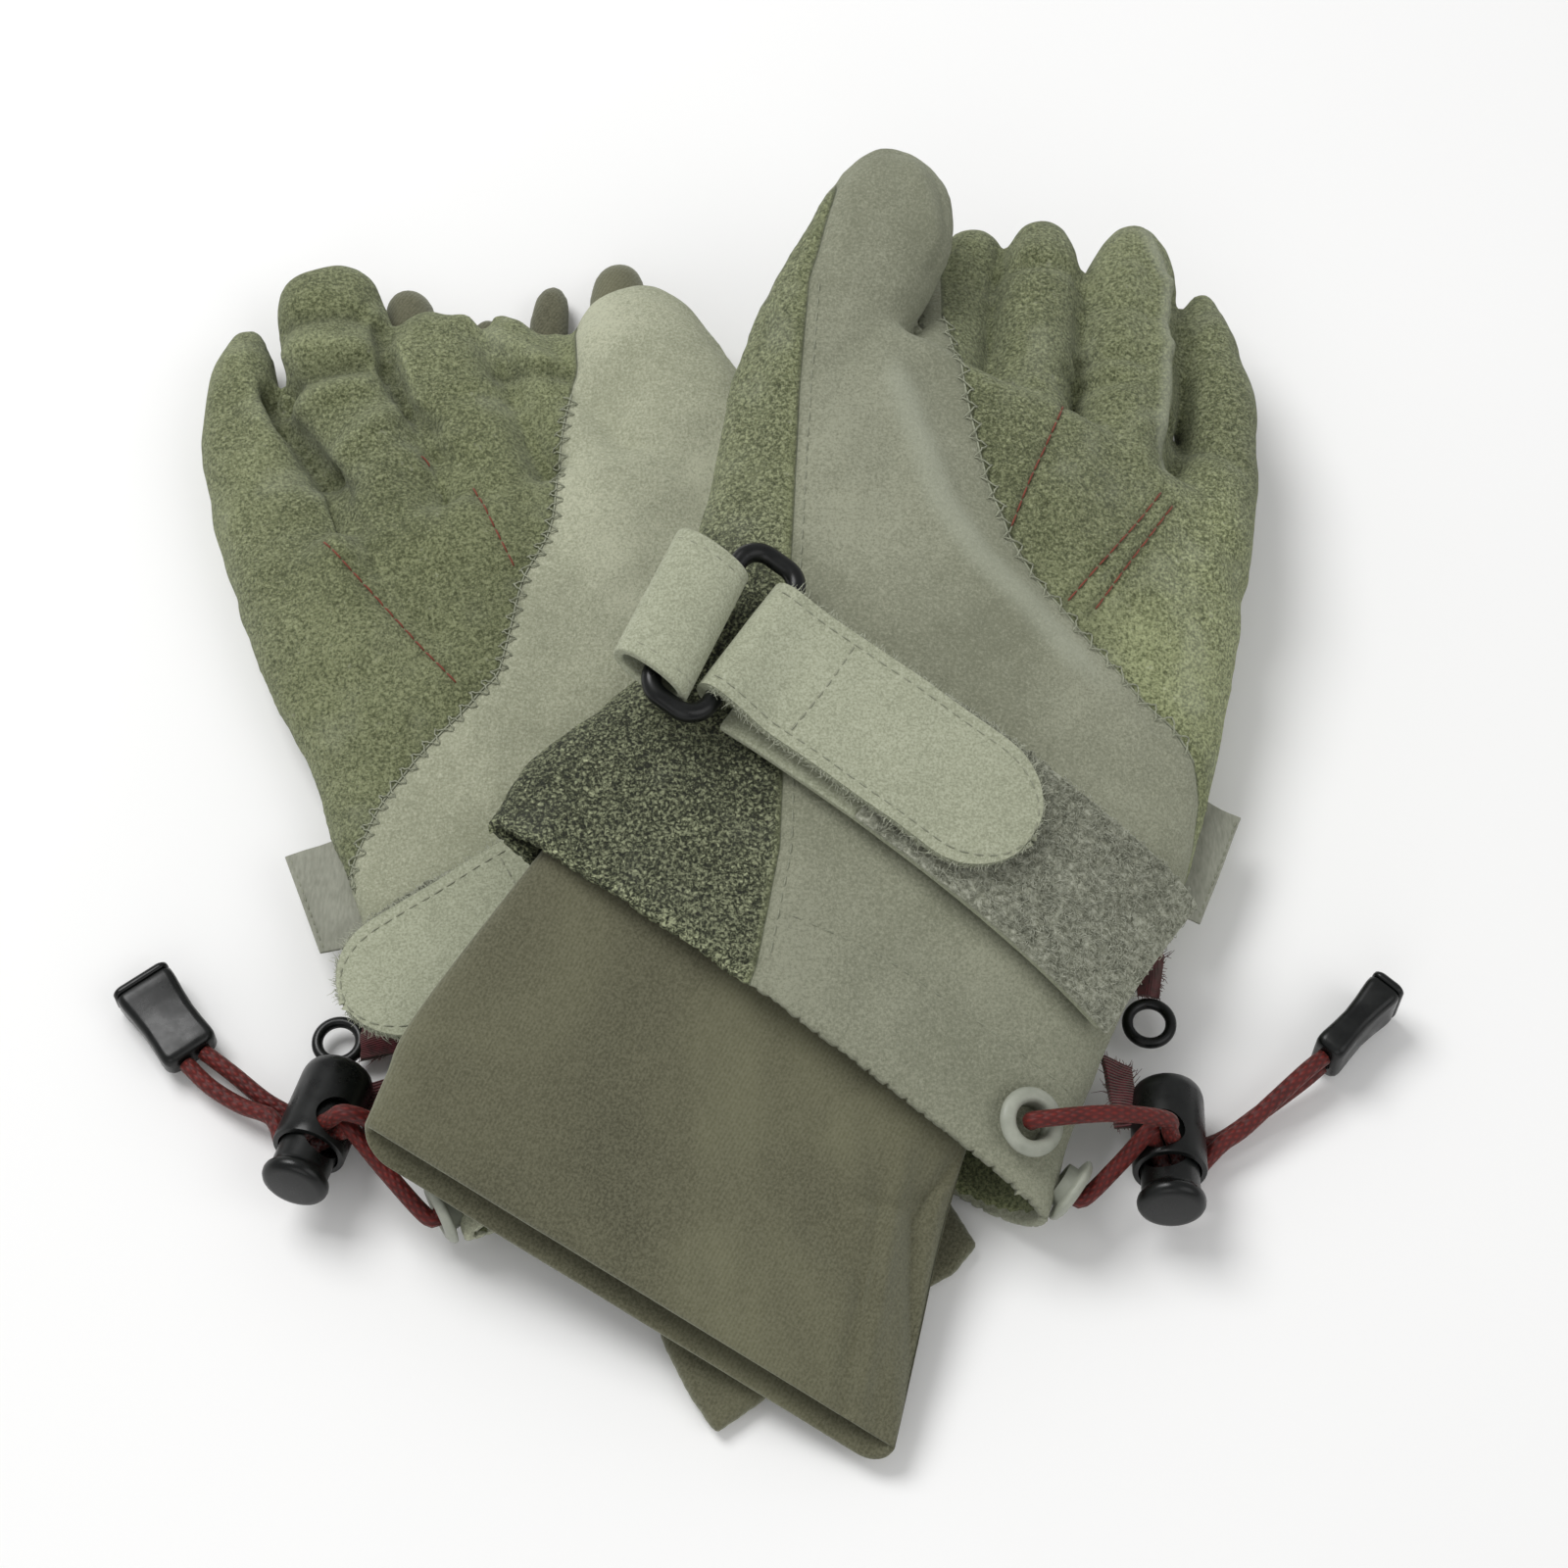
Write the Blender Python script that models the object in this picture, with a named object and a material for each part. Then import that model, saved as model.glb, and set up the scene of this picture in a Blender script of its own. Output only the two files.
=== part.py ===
"""A pair of suede work gloves with knit liners, lying crossed, palms up.

Frame: metres, +Z up, the table is z = 0.  Every glove is laid out in its own frame (u across the palm, v from the
cuff towards the fingertips, w out of the palm, in millimetres) and then carried into the shared frame.
The left glove (thumb on its left as it lies palm up) rests half on the right glove and half on the table.
"""
import bpy, bmesh, math
from mathutils import Matrix, Vector

for ob in list(bpy.data.objects):
    bpy.data.objects.remove(ob, do_unlink=True)

# ---------------------------------------------------------------- driving dimensions (millimetres, degrees)
MM = 0.001
SHIFT_X, SHIFT_Y = 12.203, 5.796      # puts the middle of the pair over the origin
LEATHER = 1.6            # suede thickness of the shell
GAP = 0.3                # air between touching pieces
PANEL_T = 1.2            # smooth reinforcement panel
PANEL_OFF = 0.9          # its underside over the shell facets
STRAP_T = 1.9            # strap leather
PILE_T = 1.4             # loop pile on the strap
FLAP_W, BASE_W, KEEPER_W = 27.0, 31.0, 29.0
RING_BAR = 3.4           # bar diameter of the strap ring
RING_W, RING_L = 15.5, 39.5
CORD_D = 3.2             # elastic cord
LOCK_D, LOCK_BORE = 14.0, 11.8
STEM_D, STEM_BORE = 11.0, 8.4
HOLE_D = 8.5             # cross hole of barrel and plunger
STROKE = 3.5
CORD_PITCH = 3.6         # the two strands lie side by side in the lock
GROM_OD, GROM_ID, GROM_T = 13.0, 7.0, 1.8
KNUCKLE_V = 80.0         # the fingers start here
SUPER = 2.4              # exponent of the flattened oval sections
SEG = 12                 # facets of half an oval

# glove frames: origin, yaw, roll (degrees)
LEFT_AT, LEFT_YAW, LEFT_ROLL = (26.0, -16.2, 28.4), -24.0, 15.0
RIGHT_AT, RIGHT_YAW, RIGHT_ROLL = (-40.0, -25.0, 10.0), 20.0, 0.0

# shell sections: v, left edge, right edge, height above and below the mid plane (left side, right side)
LEFT_SECTIONS = [(-60, -69, 57, 9.0, 7.6, 21.5), (-45, -68, 55, 10.0, 7.6, 22.0), (-28, -63, 54, 11.5, 7.6, 22.5),
                 (-8, -57, 55, 13.5, 7.6, 22.5), (12, -58, 55, 14.5, 7.8, 22.5), (35, -63, 52, 15.5, 8.2, 22.0),
                 (58, -69, 47, 15.5, 8.5, 20.0), (80, -72, 41.5, 14.0, 8.5, 16.5)]
RIGHT_SECTIONS = [(-60, -45, 35, 5.5, 6.2, 5.8), (-45, -45, 37, 5.6, 6.2, 5.8), (-28, -45, 43, 5.8, 6.2, 5.8),
                  (-8, -44, 50, 6.2, 6.2, 5.8), (12, -44, 57, 7.5, 6.2, 5.8), (35, -45, 62, 10.0, 6.2, 5.8),
                  (58, -47, 68, 12.5, 6.2, 5.8), (80, -48, 72, 13.0, 6.2, 5.8)]
# the cuff edge is cut at a slant: shift of v per mm of u at the mouth
LEFT_SLANT, RIGHT_SLANT = -0.145, 0.145
# smooth panel: v, first and last station angle on the oval (180 = left edge, 0 = right edge)
LEFT_PANEL = [(-60, 96, 18), (-45, 97, 18), (-28, 104, 18), (-8, 114, 18), (12, 124, 24), (35, 133, 48),
              (58, 148, 84), (80, 163, 104)]
RIGHT_PANEL = [(-60, 162, 40), (-45, 162, 40), (-28, 162, 34), (-8, 162, 30), (12, 150, 26), (35, 118, 26),
               (58, 86, 20), (80, 72, 18)]
# fingers: (v, centre u, half width, centre w, half height)
LEFT_FINGERS = {
    "thumb": [(80.3, -57.6, 13.8, 3.0, 10.5), (96, -57.5, 14.6, 6.0, 10.5), (106, -57.5, 14.4, 9.5, 9.5),
              (115, -58.3, 11.8, 10.0, 8.0), (121, -59.3, 7.6, 10.0, 5.6), (123.6, -59.8, 3.2, 10.0, 2.4)],
    "index_finger": [(80.3, -32.6, 10.3, 0.0, 11.5), (95, -34.0, 8.6, -4.5, 9.0), (110, -37.5, 7.4, -8.0, 7.4),
                     (120, -39.5, 6.4, -8.5, 6.6), (126, -40.3, 4.6, -8.5, 4.8), (128.6, -40.6, 2.2, -8.5, 2.2)],
    "middle_finger": [(80.3, -12.0, 9.4, 0.5, 12.0), (96, -16.0, 9.0, -1.0, 11.0), (113, -21.0, 8.8, -2.0, 10.0),
                      (124, -24.0, 8.2, -2.0, 9.0), (131.5, -26.2, 5.6, -2.0, 6.5), (134.5, -27.0, 2.6, -2.0, 3.0)],
    "ring_finger": [(80.3, 8.4, 10.2, 0.0, 13.0), (96, 6.4, 11.0, -1.0, 12.5), (113, -1.6, 9.8, -2.0, 11.5),
                    (130, -6.0, 9.6, -3.0, 10.5), (140, -8.0, 7.6, -3.5, 8.0), (146.5, -9.4, 3.0, -3.5, 3.4)],
    "little_finger": [(80.3, 30.2, 10.8, -1.5, 13.5), (101, 27.7, 8.9, -3.0, 11.5), (120, 20.5, 9.0, -4.5, 10.0),
                      (132, 13.6, 7.4, -5.0, 8.0), (139.8, 10.0, 3.0, -5.0, 3.4)],
}
RIGHT_FINGERS = {
    "thumb": [(80.3, 57.0, 14.2, 3.4, 9.6), (96, 55.4, 14.4, 4.0, 9.6), (108, 53.4, 14.0, 4.5, 9.5),
              (118, 52.2, 12.6, 5.0, 8.5), (125.5, 52.4, 9.0, 5.0, 6.0), (129.2, 52.6, 4.2, 5.0, 2.6)],
    "index_finger": [(80.3, 32.0, 10.2, 2.6, 8.8), (104, 29.4, 8.0, 2.0, 8.2), (120, 27.6, 6.8, 1.6, 7.6),
                     (131, 26.2, 5.4, 1.4, 6.4), (136.5, 25.2, 2.4, 1.4, 3.0)],
    "middle_finger": [(80.3, 10.6, 10.6, 3.0, 9.2), (104, 11.0, 9.4, 2.6, 8.8), (120, 10.6, 9.4, 2.8, 8.8),
                      (133, 12.0, 8.2, 3.0, 8.0), (140.5, 13.4, 4.0, 3.0, 4.0)],
    "ring_finger": [(80.3, -12.2, 11.4, 2.6, 9.2), (104, -10.6, 11.2, 2.4, 9.0), (125, -12.4, 11.6, 2.6, 9.0),
                    (145, -9.5, 11.4, 3.2, 8.6), (154, -7.4, 8.6, 3.2, 6.6), (158.6, -6.0, 3.8, 3.2, 3.2)],
    "little_finger": [(80.3, -35.8, 11.4, 0.0, 8.5), (104, -35.4, 11.8, -0.5, 8.5), (125, -35.0, 9.6, -0.5, 8.2),
                      (142, -31.4, 7.0, 0.0, 7.0), (150, -28.0, 3.0, 0.0, 3.2)],
}
# knit cuff of the left liner: two stations inside the shell (glove frame u, v left and right, w, thickness) and
# three outside it (shared frame left edge, right edge, thickness)
LINER_INSIDE = [(-54, -30, 34, -34, 0.0, 7.6), (-57, -48, 37, -58, 0.0, 8.4)]
LINER_OUTSIDE = [((-67, -68, 35.0), (29, -103, 12.6), 10.2), ((-72.5, -79, 31.0), (24, -124, 9.4), 10.8),
                 ((-76, -87, 28.0), (20, -140.5, 6.6), 11.2)]
LINER_WALL = 1.6
# flat knit inner glove under the right shell (shared frame outline, clockwise from the cuff)
INNER_T = 3.0
INNER_OUTLINE = [(-12, -134), (-24, -96), (-44, -40), (-62, 20), (-74, 60), (-84, 92), (-89, 112), (-86, 120.5), (-81, 120.5),
                 (-77, 112), (-72, 92), (-68.5, 92), (-69, 112), (-66, 121), (-62, 121), (-60.5, 112), (-59.5, 92), (-56.5, 92),
                 (-56, 114), (-54.4, 124), (-48.4, 124), (-46.8, 114), (-46.8, 96), (-45.0, 96), (-44.4, 118),
                 (-42.6, 129), (-33.4, 129), (-31.6, 118), (-31, 96), (-26, 40), (-14, 20), (0, -20),
                 (20, -70), (33, -102), (27, -108), (8, -122)]
# strap layout in glove frames: ring centre (u, v), direction of the flap (degrees), flap length past the bar
LEFT_STRAP = ((-46.5, -0.5), -8.5, 62.5)
RIGHT_STRAP = ((8.0, -7.0), 192.0, 55.5)
RIGHT_LOOSE = 11.6       # the right flap runs straight on past the edge of the shell at this height
# cord lock: barrel hole centre (shared frame), heading of the button, pitch of the axis, roll of the tunnel to the cuff
LEFT_LOCK = ((72.0, -85.0, 10.8), -92.5, 12.0, 18.0, -1)
RIGHT_LOCK = ((-87.5, -81.0, 10.8), -104.5, 12.0, 40.0, 1)
# eyelets: station v, angle on the oval, height of the seat; upper then lower
LEFT_EYELETS = ((-49.5, 38, 2.6), (-52.0, 0, 2.0))
RIGHT_EYELETS = ((-53.0, 180, 1.2), (-38.5, 180, 1.2))
# free tail of both strands (shared frame) and the cord end: start, heading, pitch, roll about its length
LEFT_TAIL = ((79.5, -82.5, 4.2), (85.5, -79.0, 4.2), (92.5, -73.5, 5.0), (99.5, -68.0, 6.2))
LEFT_END = ((103.4, -64.8, 6.6), 47.0, 0.0, 90.0)
RIGHT_TAIL = ((-94.5, -76.5, 4.0), (-101.5, -72.5, 3.8), (-108.0, -67.8, 4.0))
RIGHT_END = ((-113.6, -63.0, 4.4), 127.0, 0.0, 0.0)
END_L, END_W, END_H = 20.0, 12.0, 7.0


# ---------------------------------------------------------------- helpers
def colour(name, rgb, rough, metal=0.0):
    m = bpy.data.materials.new(name)
    m.use_nodes = True
    b = m.node_tree.nodes["Principled BSDF"]
    b.inputs["Base Color"].default_value = (rgb[0], rgb[1], rgb[2], 1.0)
    b.inputs["Roughness"].default_value = rough
    b.inputs["Metallic"].default_value = metal
    return m


SUEDE = colour("rough_suede", (0.20, 0.215, 0.13), 0.95)
SMOOTH = colour("smooth_suede", (0.36, 0.38, 0.28), 0.9)
STRAP = colour("strap_suede", (0.42, 0.44, 0.33), 0.9)
PILE = colour("loop_pile", (0.25, 0.26, 0.22), 0.98)
KNIT = colour("knit_liner", (0.22, 0.20, 0.13), 0.95)
BLACK = colour("black_plastic", (0.01, 0.012, 0.011), 0.35)
RED = colour("red_elastic", (0.19, 0.015, 0.01), 0.7)
MAROON = colour("maroon_webbing", (0.07, 0.008, 0.015), 0.8)
LABEL = colour("label_tape", (0.36, 0.36, 0.30), 0.8)
EYELET = colour("grey_eyelet", (0.38, 0.40, 0.33), 0.45)
STEEL = colour("spring_steel", (0.55, 0.55, 0.53), 0.3, 1.0)

kit = bpy.data.collections.new("glove_pair")
cutters = bpy.data.collections.new("cutters")
bpy.context.scene.collection.children.link(kit)
bpy.context.scene.collection.children.link(cutters)


def frame(at, yaw, roll):
    return (Matrix.Translation(Vector(at)) @ Matrix.Rotation(math.radians(yaw), 4, "Z")
            @ Matrix.Rotation(math.radians(roll), 4, "Y"))


def place(name, verts, faces, mat, origin=None, col=None):
    """verts are shared-frame millimetres; the object origin goes to `origin` (millimetres)."""
    o = Vector(origin) if origin is not None else sum(verts, Vector()) / len(verts)
    me = bpy.data.meshes.new(name)
    me.from_pydata([(v - o) * MM for v in verts], [], faces)
    me.validate()
    bm = bmesh.new()
    bm.from_mesh(me)
    bmesh.ops.recalc_face_normals(bm, faces=bm.faces)
    bm.to_mesh(me)
    bm.free()
    me.materials.append(mat)
    ob = bpy.data.objects.new(name, me)
    ob.location = (o + Vector((SHIFT_X, SHIFT_Y, 0))) * MM
    (col or kit).objects.link(ob)
    return ob


def ring_loft(name, rings, mat, origin=None):
    """closed rings of equal count, capped at both ends"""
    n = len(rings[0])
    verts = [p for r in rings for p in r]
    faces = [[i * n + j, i * n + (j + 1) % n, (i + 1) * n + (j + 1) % n, (i + 1) * n + j]
             for i in range(len(rings) - 1) for j in range(n)]
    faces.append(list(range(n))[::-1])
    faces.append([(len(rings) - 1) * n + j for j in range(n)])
    return place(name, verts, faces, mat, origin)


def strip_loft(name, stations, mat, origin=None):
    """stations of (outer points, inner points): a curved plate with four edges"""
    m = len(stations[0][0])
    verts, faces = [], []
    for a, b in stations:
        verts += list(a) + list(b)
    k = 2 * m
    for i in range(len(stations) - 1):
        p, q = i * k, (i + 1) * k
        for j in range(m - 1):
            faces.append([p + j, p + j + 1, q + j + 1, q + j])
            faces.append([p + m + j, q + m + j, q + m + j + 1, p + m + j + 1])
        faces.append([p, q, q + m, p + m])
        faces.append([p + m - 1, p + 2 * m - 1, q + 2 * m - 1, q + m - 1])
    for p in (0, (len(stations) - 1) * k):
        for j in range(m - 1):
            faces.append([p + j, p + m + j, p + m + j + 1, p + j + 1])
    return place(name, verts, faces, mat, origin)


def pipe_loft(name, stations, mat):
    """stations of (outer ring, inner ring), open at both ends"""
    n = len(stations[0][0])
    verts, faces = [], []
    for a, b in stations:
        verts += list(a) + list(b)
    k = 2 * n
    for i in range(len(stations) - 1):
        p, q = i * k, (i + 1) * k
        for j in range(n):
            jn = (j + 1) % n
            faces.append([p + j, p + jn, q + jn, q + j])
            faces.append([p + n + j, q + n + j, q + n + jn, p + n + jn])
    for p in (0, (len(stations) - 1) * k):
        for j in range(n):
            jn = (j + 1) % n
            faces.append([p + j, p + n + j, p + n + jn, p + jn])
    return place(name, verts, faces, mat)


def power(x, e):
    return math.copysign(abs(x) ** e, x)


def between(table, v):
    if v <= table[0][0]:
        return table[0][1:]
    for a, b in zip(table, table[1:]):
        if v <= b[0]:
            t = (v - a[0]) / (b[0] - a[0])
            return [x + (y - x) * t for x, y in zip(a[1:], b[1:])]
    return table[-1][1:]


class Shell:
    """The flattened oval tube of one glove, in its own frame."""

    def __init__(self, at, yaw, roll, sections, slant):
        self.m, self.sections, self.slant = frame(at, yaw, roll), sections, slant

    def oval(self, v, deg, off=0.0, bias=0.0):
        left, right, top, low_l, low_r = between(self.sections, v)
        c, s = math.cos(math.radians(deg)), math.sin(math.radians(deg))
        x, y = power(c, 2 / SUPER), power(s, 2 / SUPER)
        half, mid = (right - left) / 2, (right + left) / 2
        t = min(1.0, max(0.0, (x - 0.2) / 0.7))
        low = low_l + (low_r - low_l) * t * t * (3 - 2 * t)
        high = top if s >= 0 else low
        u, w = mid + half * x, high * y
        # outward offset along the oval normal
        nx, ny = power(c, 2 - 2 / SUPER) / half, power(s, 2 - 2 / SUPER) / high
        ln = math.hypot(nx, ny)
        u, w = u + off * nx / ln, w + off * ny / ln + bias
        fade = min(1.0, max(0.0, (-20 - v) / 25.0))
        return self.m @ Vector((u, v + self.slant * u * fade, w))

    def skin(self, v, deg, off, bias=0.0):
        """a point over the flat facets of the shell"""
        step = 180.0 / SEG
        d0 = math.floor(deg / step + 1e-6) * step
        t = (deg - d0) / step
        return self.oval(v, d0, off, bias).lerp(self.oval(v, d0 + step, off, bias), t)

    def angle(self, u, v):
        left, right = between(self.sections, v)[:2]
        x = max(-1.0, min(1.0, (u - (right + left) / 2) / ((right - left) / 2)))
        return math.degrees(math.acos(power(x, SUPER / 2)))

    def normal(self, v, deg):
        return (self.oval(v, deg, 1.0) - self.oval(v, deg, 0.0)).normalized()

    def at(self, u, v, w):
        return self.m @ Vector((u, v, w))

    def top(self, u, v):
        left, right, top, low_l, low_r = between(self.sections, v)
        x = (u - (right + left) / 2) / ((right - left) / 2)
        return top * max(0.0, 1 - abs(x) ** SUPER) ** (1 / SUPER)


def shell_half(name, sh, upper, mat):
    angles = [180 - 180 * i / SEG for i in range(SEG + 1)]
    if not upper:
        angles = [180 + 180 * i / SEG for i in range(SEG + 1)]
    bias = GAP / 2 if upper else -GAP / 2
    st = []
    for v in [s[0] for s in sh.sections]:
        outer = [sh.oval(v, a, 0.0, bias) for a in angles]
        inner = [sh.oval(v, a, -LEATHER, bias) for a in angles]
        # keep both edges of the wall on the parting plane
        st.append((outer, inner))
    return strip_loft(name, st, mat)


def panel(name, sh, table, mat, off, thick, count=14):
    st = []
    for v, a, b in table:
        angles = [a + (b - a) * i / count for i in range(count + 1)]
        st.append(([sh.skin(v, d, off + thick, GAP / 2) for d in angles],
                   [sh.skin(v, d, off, GAP / 2) for d in angles]))
    return strip_loft(name, st, mat)


def finger(name, sh, rows, mat):
    rings = []
    for v, cu, hw, cw, hh in rows:
        rings.append([sh.at(cu + hw * power(math.cos(a), 0.88), v, cw + hh * power(math.sin(a), 0.88))
                      for a in [2 * math.pi * i / 16 for i in range(16)]])
    return ring_loft(name, rings, mat)


def sweep(name, pts, dia, mat, sides=2):
    cu = bpy.data.curves.new(name + "_path", "CURVE")
    cu.dimensions = "3D"
    cu.bevel_depth = dia / 2 * MM
    cu.bevel_resolution = sides
    cu.use_fill_caps = True
    sp = cu.splines.new("POLY")
    sp.points.add(len(pts) - 1)
    o = pts[0]
    for p, q in zip(sp.points, pts):
        d = (q - o) * MM
        p.co = (d.x, d.y, d.z, 1)
    tmp = bpy.data.objects.new(name + "_path", cu)
    tmp.location = (o + Vector((SHIFT_X, SHIFT_Y, 0))) * MM
    kit.objects.link(tmp)
    bpy.context.view_layer.update()
    me = bpy.data.meshes.new_from_object(tmp.evaluated_get(bpy.context.evaluated_depsgraph_get()))
    bm = bmesh.new()
    bm.from_mesh(me)
    bmesh.ops.remove_doubles(bm, verts=bm.verts, dist=1e-6)
    bmesh.ops.recalc_face_normals(bm, faces=bm.faces)
    bm.to_mesh(me)
    bm.free()
    me.materials.clear()
    me.materials.append(mat)
    ob = bpy.data.objects.new(name, me)
    ob.matrix_world = tmp.matrix_world.copy()
    kit.objects.link(ob)
    bpy.data.objects.remove(tmp, do_unlink=True)
    return ob


def smooth_path(pts, steps=5):
    """Catmull-Rom points through the given ones"""
    out = []
    for i in range(len(pts) - 1):
        p0, p1, p2, p3 = pts[max(0, i - 1)], pts[i], pts[i + 1], pts[min(len(pts) - 1, i + 2)]
        for k in range(steps):
            t = k / steps
            out.append(0.5 * ((2 * p1) + (p2 - p0) * t + (2 * p0 - 5 * p1 + 4 * p2 - p3) * t * t
                              + (3 * p1 - p0 - 3 * p2 + p3) * t ** 3))
    out.append(pts[-1])
    return out


def lathe(name, m, profile, mat, seg=24, squash=1.0, origin=None):
    """profile of (radius, height) about the frame's third axis"""
    rings = [[m @ Vector((r * math.cos(a), r * squash * math.sin(a), h)) for a in
              [2 * math.pi * i / seg for i in range(seg)]] for r, h in profile]
    return ring_loft(name, rings, mat, origin)


def washer(name, m, ro, ri, t, mat, seg=20):
    def loop(r, h):
        return [m @ Vector((r * math.cos(a), r * math.sin(a), h)) for a in [2 * math.pi * i / seg for i in range(seg)]]
    c = 0.35
    outer = [loop(ro - c, 0), loop(ro, c), loop(ro, t - c), loop(ro - c, t)]
    inner = [loop(ri + c, 0), loop(ri, c), loop(ri, t - c), loop(ri + c, t)]
    return pipe_loft(name, list(zip(outer, inner)), mat)


def axes(o, x, z):
    """frame with third axis z and first axis near x"""
    z = z.normalized()
    x = (x - z * x.dot(z)).normalized()
    y = z.cross(x)
    m = Matrix((x, y, z)).transposed().to_4x4()
    m.translation = o
    return m


def slab(name, m, outline, thick, mat, origin=None):
    """flat outline (first two axes of m) raised by thick along the third, all corners kept"""
    n = len(outline)
    verts = [m @ Vector((x, y, 0)) for x, y in outline] + [m @ Vector((x, y, thick)) for x, y in outline]
    faces = [[i, (i + 1) % n, n + (i + 1) % n, n + i] for i in range(n)] + [list(range(n))[::-1], list(range(n, 2 * n))]
    return place(name, verts, faces, mat, origin)


def cut(ob, tool):
    md = ob.modifiers.new("cut_" + tool.name, "BOOLEAN")
    md.operation, md.solver, md.object = "DIFFERENCE", "EXACT", tool
    tool.hide_render = True
    tool.display_type = "WIRE"
    for c in list(tool.users_collection):
        c.objects.unlink(tool)
    cutters.objects.link(tool)


# ---------------------------------------------------------------- one glove
def glove(side, at, yaw, roll, sections, slant, panel_rows, fingers, strap, eyelets, loose=None):
    sh = Shell(at, yaw, roll, sections, slant)
    n = side + "_"
    shell_half(n + "palm_shell", sh, True, SUEDE)
    shell_half(n + "back_shell", sh, False, SUEDE)
    panel(n + "palm_panel", sh, panel_rows, SMOOTH, PANEL_OFF, PANEL_T)
    for key, rows in fingers.items():
        finger(n + key, sh, rows, SMOOTH if key == "thumb" else SUEDE)

    # wrist strap: s runs from the ring along the flap, t across it
    (ru, rv), ang, flap_len = strap
    ca, sa = math.cos(math.radians(ang)), math.sin(math.radians(ang))

    def on_strap(s, t, w):
        return sh.at(ru + ca * s - sa * t, rv + sa * s + ca * t, w)

    def height(s):
        return sh.top(ru + ca * s, rv + sa * s)

    seat = PANEL_OFF + PANEL_T + GAP + 0.7           # top of the smooth panel plus air
    bar_x = RING_W / 2 - RING_BAR / 2                # strap bar, and minus this the keeper bar
    ring_w0 = max(sh.top(ru + ca * x - sa * t, rv + sa * x + ca * t) for x in (-bar_x - 5, 0, bar_x)
                  for t in (-15, 15)) + seat + STRAP_T + GAP + RING_BAR / 2 + 0.1

    def over(s, t, off):
        u, v = ru + ca * s - sa * t, rv + sa * s + ca * t
        return sh.skin(v, sh.angle(u, v), off, GAP / 2)

    # the ring: a rounded rectangle of round bar
    cx, cy, cr = RING_W / 2 - RING_BAR / 2, RING_L / 2 - RING_BAR / 2, 3.6
    loop = []
    for sx, sy, a0 in ((1, 1, 0), (-1, 1, 90), (-1, -1, 180), (1, -1, 270)):
        for k in range(4):
            a = math.radians(a0 + 30 * k)
            loop.append((sx * (cx - cr) + cr * math.cos(a), sy * (cy - cr) + cr * math.sin(a)))
    m = len(loop)
    rings = []
    for i in range(m):
        (x0, y0), (x1, y1), (x2, y2) = loop[i - 1], loop[i], loop[(i + 1) % m]
        tx, ty = x2 - x0, y2 - y0
        ln = math.hypot(tx, ty)
        nx, ny = ty / ln, -tx / ln
        rings.append([on_strap(x1 + nx * RING_BAR / 2 * math.cos(b), y1 + ny * RING_BAR / 2 * math.cos(b),
                               ring_w0 + RING_BAR / 2 * math.sin(b)) for b in [2 * math.pi * k / 10 for k in range(10)]])
    verts = [p for r in rings for p in r]
    faces = [[i * 10 + j, i * 10 + (j + 1) % 10, ((i + 1) % m) * 10 + (j + 1) % 10, ((i + 1) % m) * 10 + j]
             for i in range(m) for j in range(10)]
    place(n + "strap_ring", verts, faces, BLACK, on_strap(-cx, 0, ring_w0))

    # keeper: a leather loop round the keeper bar, sewn down beside it
    r_in = RING_BAR / 2 + GAP
    r_out = r_in + STRAP_T
    tail = 2.5
    prof = []
    for k in range(7):                               # round the bar, open towards the thumb side
        a = math.radians(90 - 30 * k)
        prof.append((-cx + math.cos(a), math.sin(a)))
    outer = [(-cx - tail, ring_w0 + r_out)] + [(-cx + r_out * math.cos(math.radians(90 - 30 * k)),
             ring_w0 + r_out * math.sin(math.radians(90 - 30 * k))) for k in range(7)] + [(-cx - tail, ring_w0 - r_out)]
    inner = [(-cx - tail, ring_w0 + r_in)] + [(-cx + r_in * math.cos(math.radians(90 - 30 * k)),
             ring_w0 + r_in * math.sin(math.radians(90 - 30 * k))) for k in range(7)] + [(-cx - tail, ring_w0 - r_in)]
    # close the loop at the sewn end with one more bend
    outer = [(-cx - tail - r_out * 0.9, ring_w0)] + [(-cx - tail - r_out * 0.6, ring_w0 + r_out * 0.75)] + outer + \
            [(-cx - tail - r_out * 0.6, ring_w0 - r_out * 0.75)]
    inner = [(-cx - tail - r_in * 0.6, ring_w0)] + [(-cx - tail - r_in * 0.4, ring_w0 + r_in * 0.75)] + inner + \
            [(-cx - tail - r_in * 0.4, ring_w0 - r_in * 0.75)]
    pipe_loft(n + "strap_keeper", [([on_strap(x, t, w) for x, w in outer], [on_strap(x, t, w) for x, w in inner])
                                   for t in (-KEEPER_W / 2, KEEPER_W / 2)], STRAP)

    # strap base: lies over the shell from the ring to the far edge; the pile is a pad on it
    far = 98.0 if side == "left" else 46.0
    first = cx + r_out + 1.6

    def band(name, s0, s1, half, lo, hi, mat, count):
        stops = [s0 + (s1 - s0) * (1 - (1 - k / count) ** 1.5) for k in range(count + 1)]
        ring_loft(name, [[over(s, -half, lo), over(s, half, lo), over(s, half, hi), over(s, -half, hi)]
                         for s in stops], mat)

    lo0 = seat
    band(n + "strap_base", first, far, BASE_W / 2, lo0, lo0 + STRAP_T, STRAP, 11)
    lo1 = lo0 + STRAP_T + GAP
    band(n + "strap_pile", first + 1.5, far - 2.5, BASE_W / 2 - 0.8, lo1, lo1 + PILE_T, PILE, 11)

    # flap: folds over the strap bar and runs back along the base, rounded at the end
    lo2 = lo1 + PILE_T + GAP + 0.1
    f_in, f_out = RING_BAR / 2 + GAP, RING_BAR / 2 + GAP + STRAP_T
    half = FLAP_W / 2
    rings = []

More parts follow.
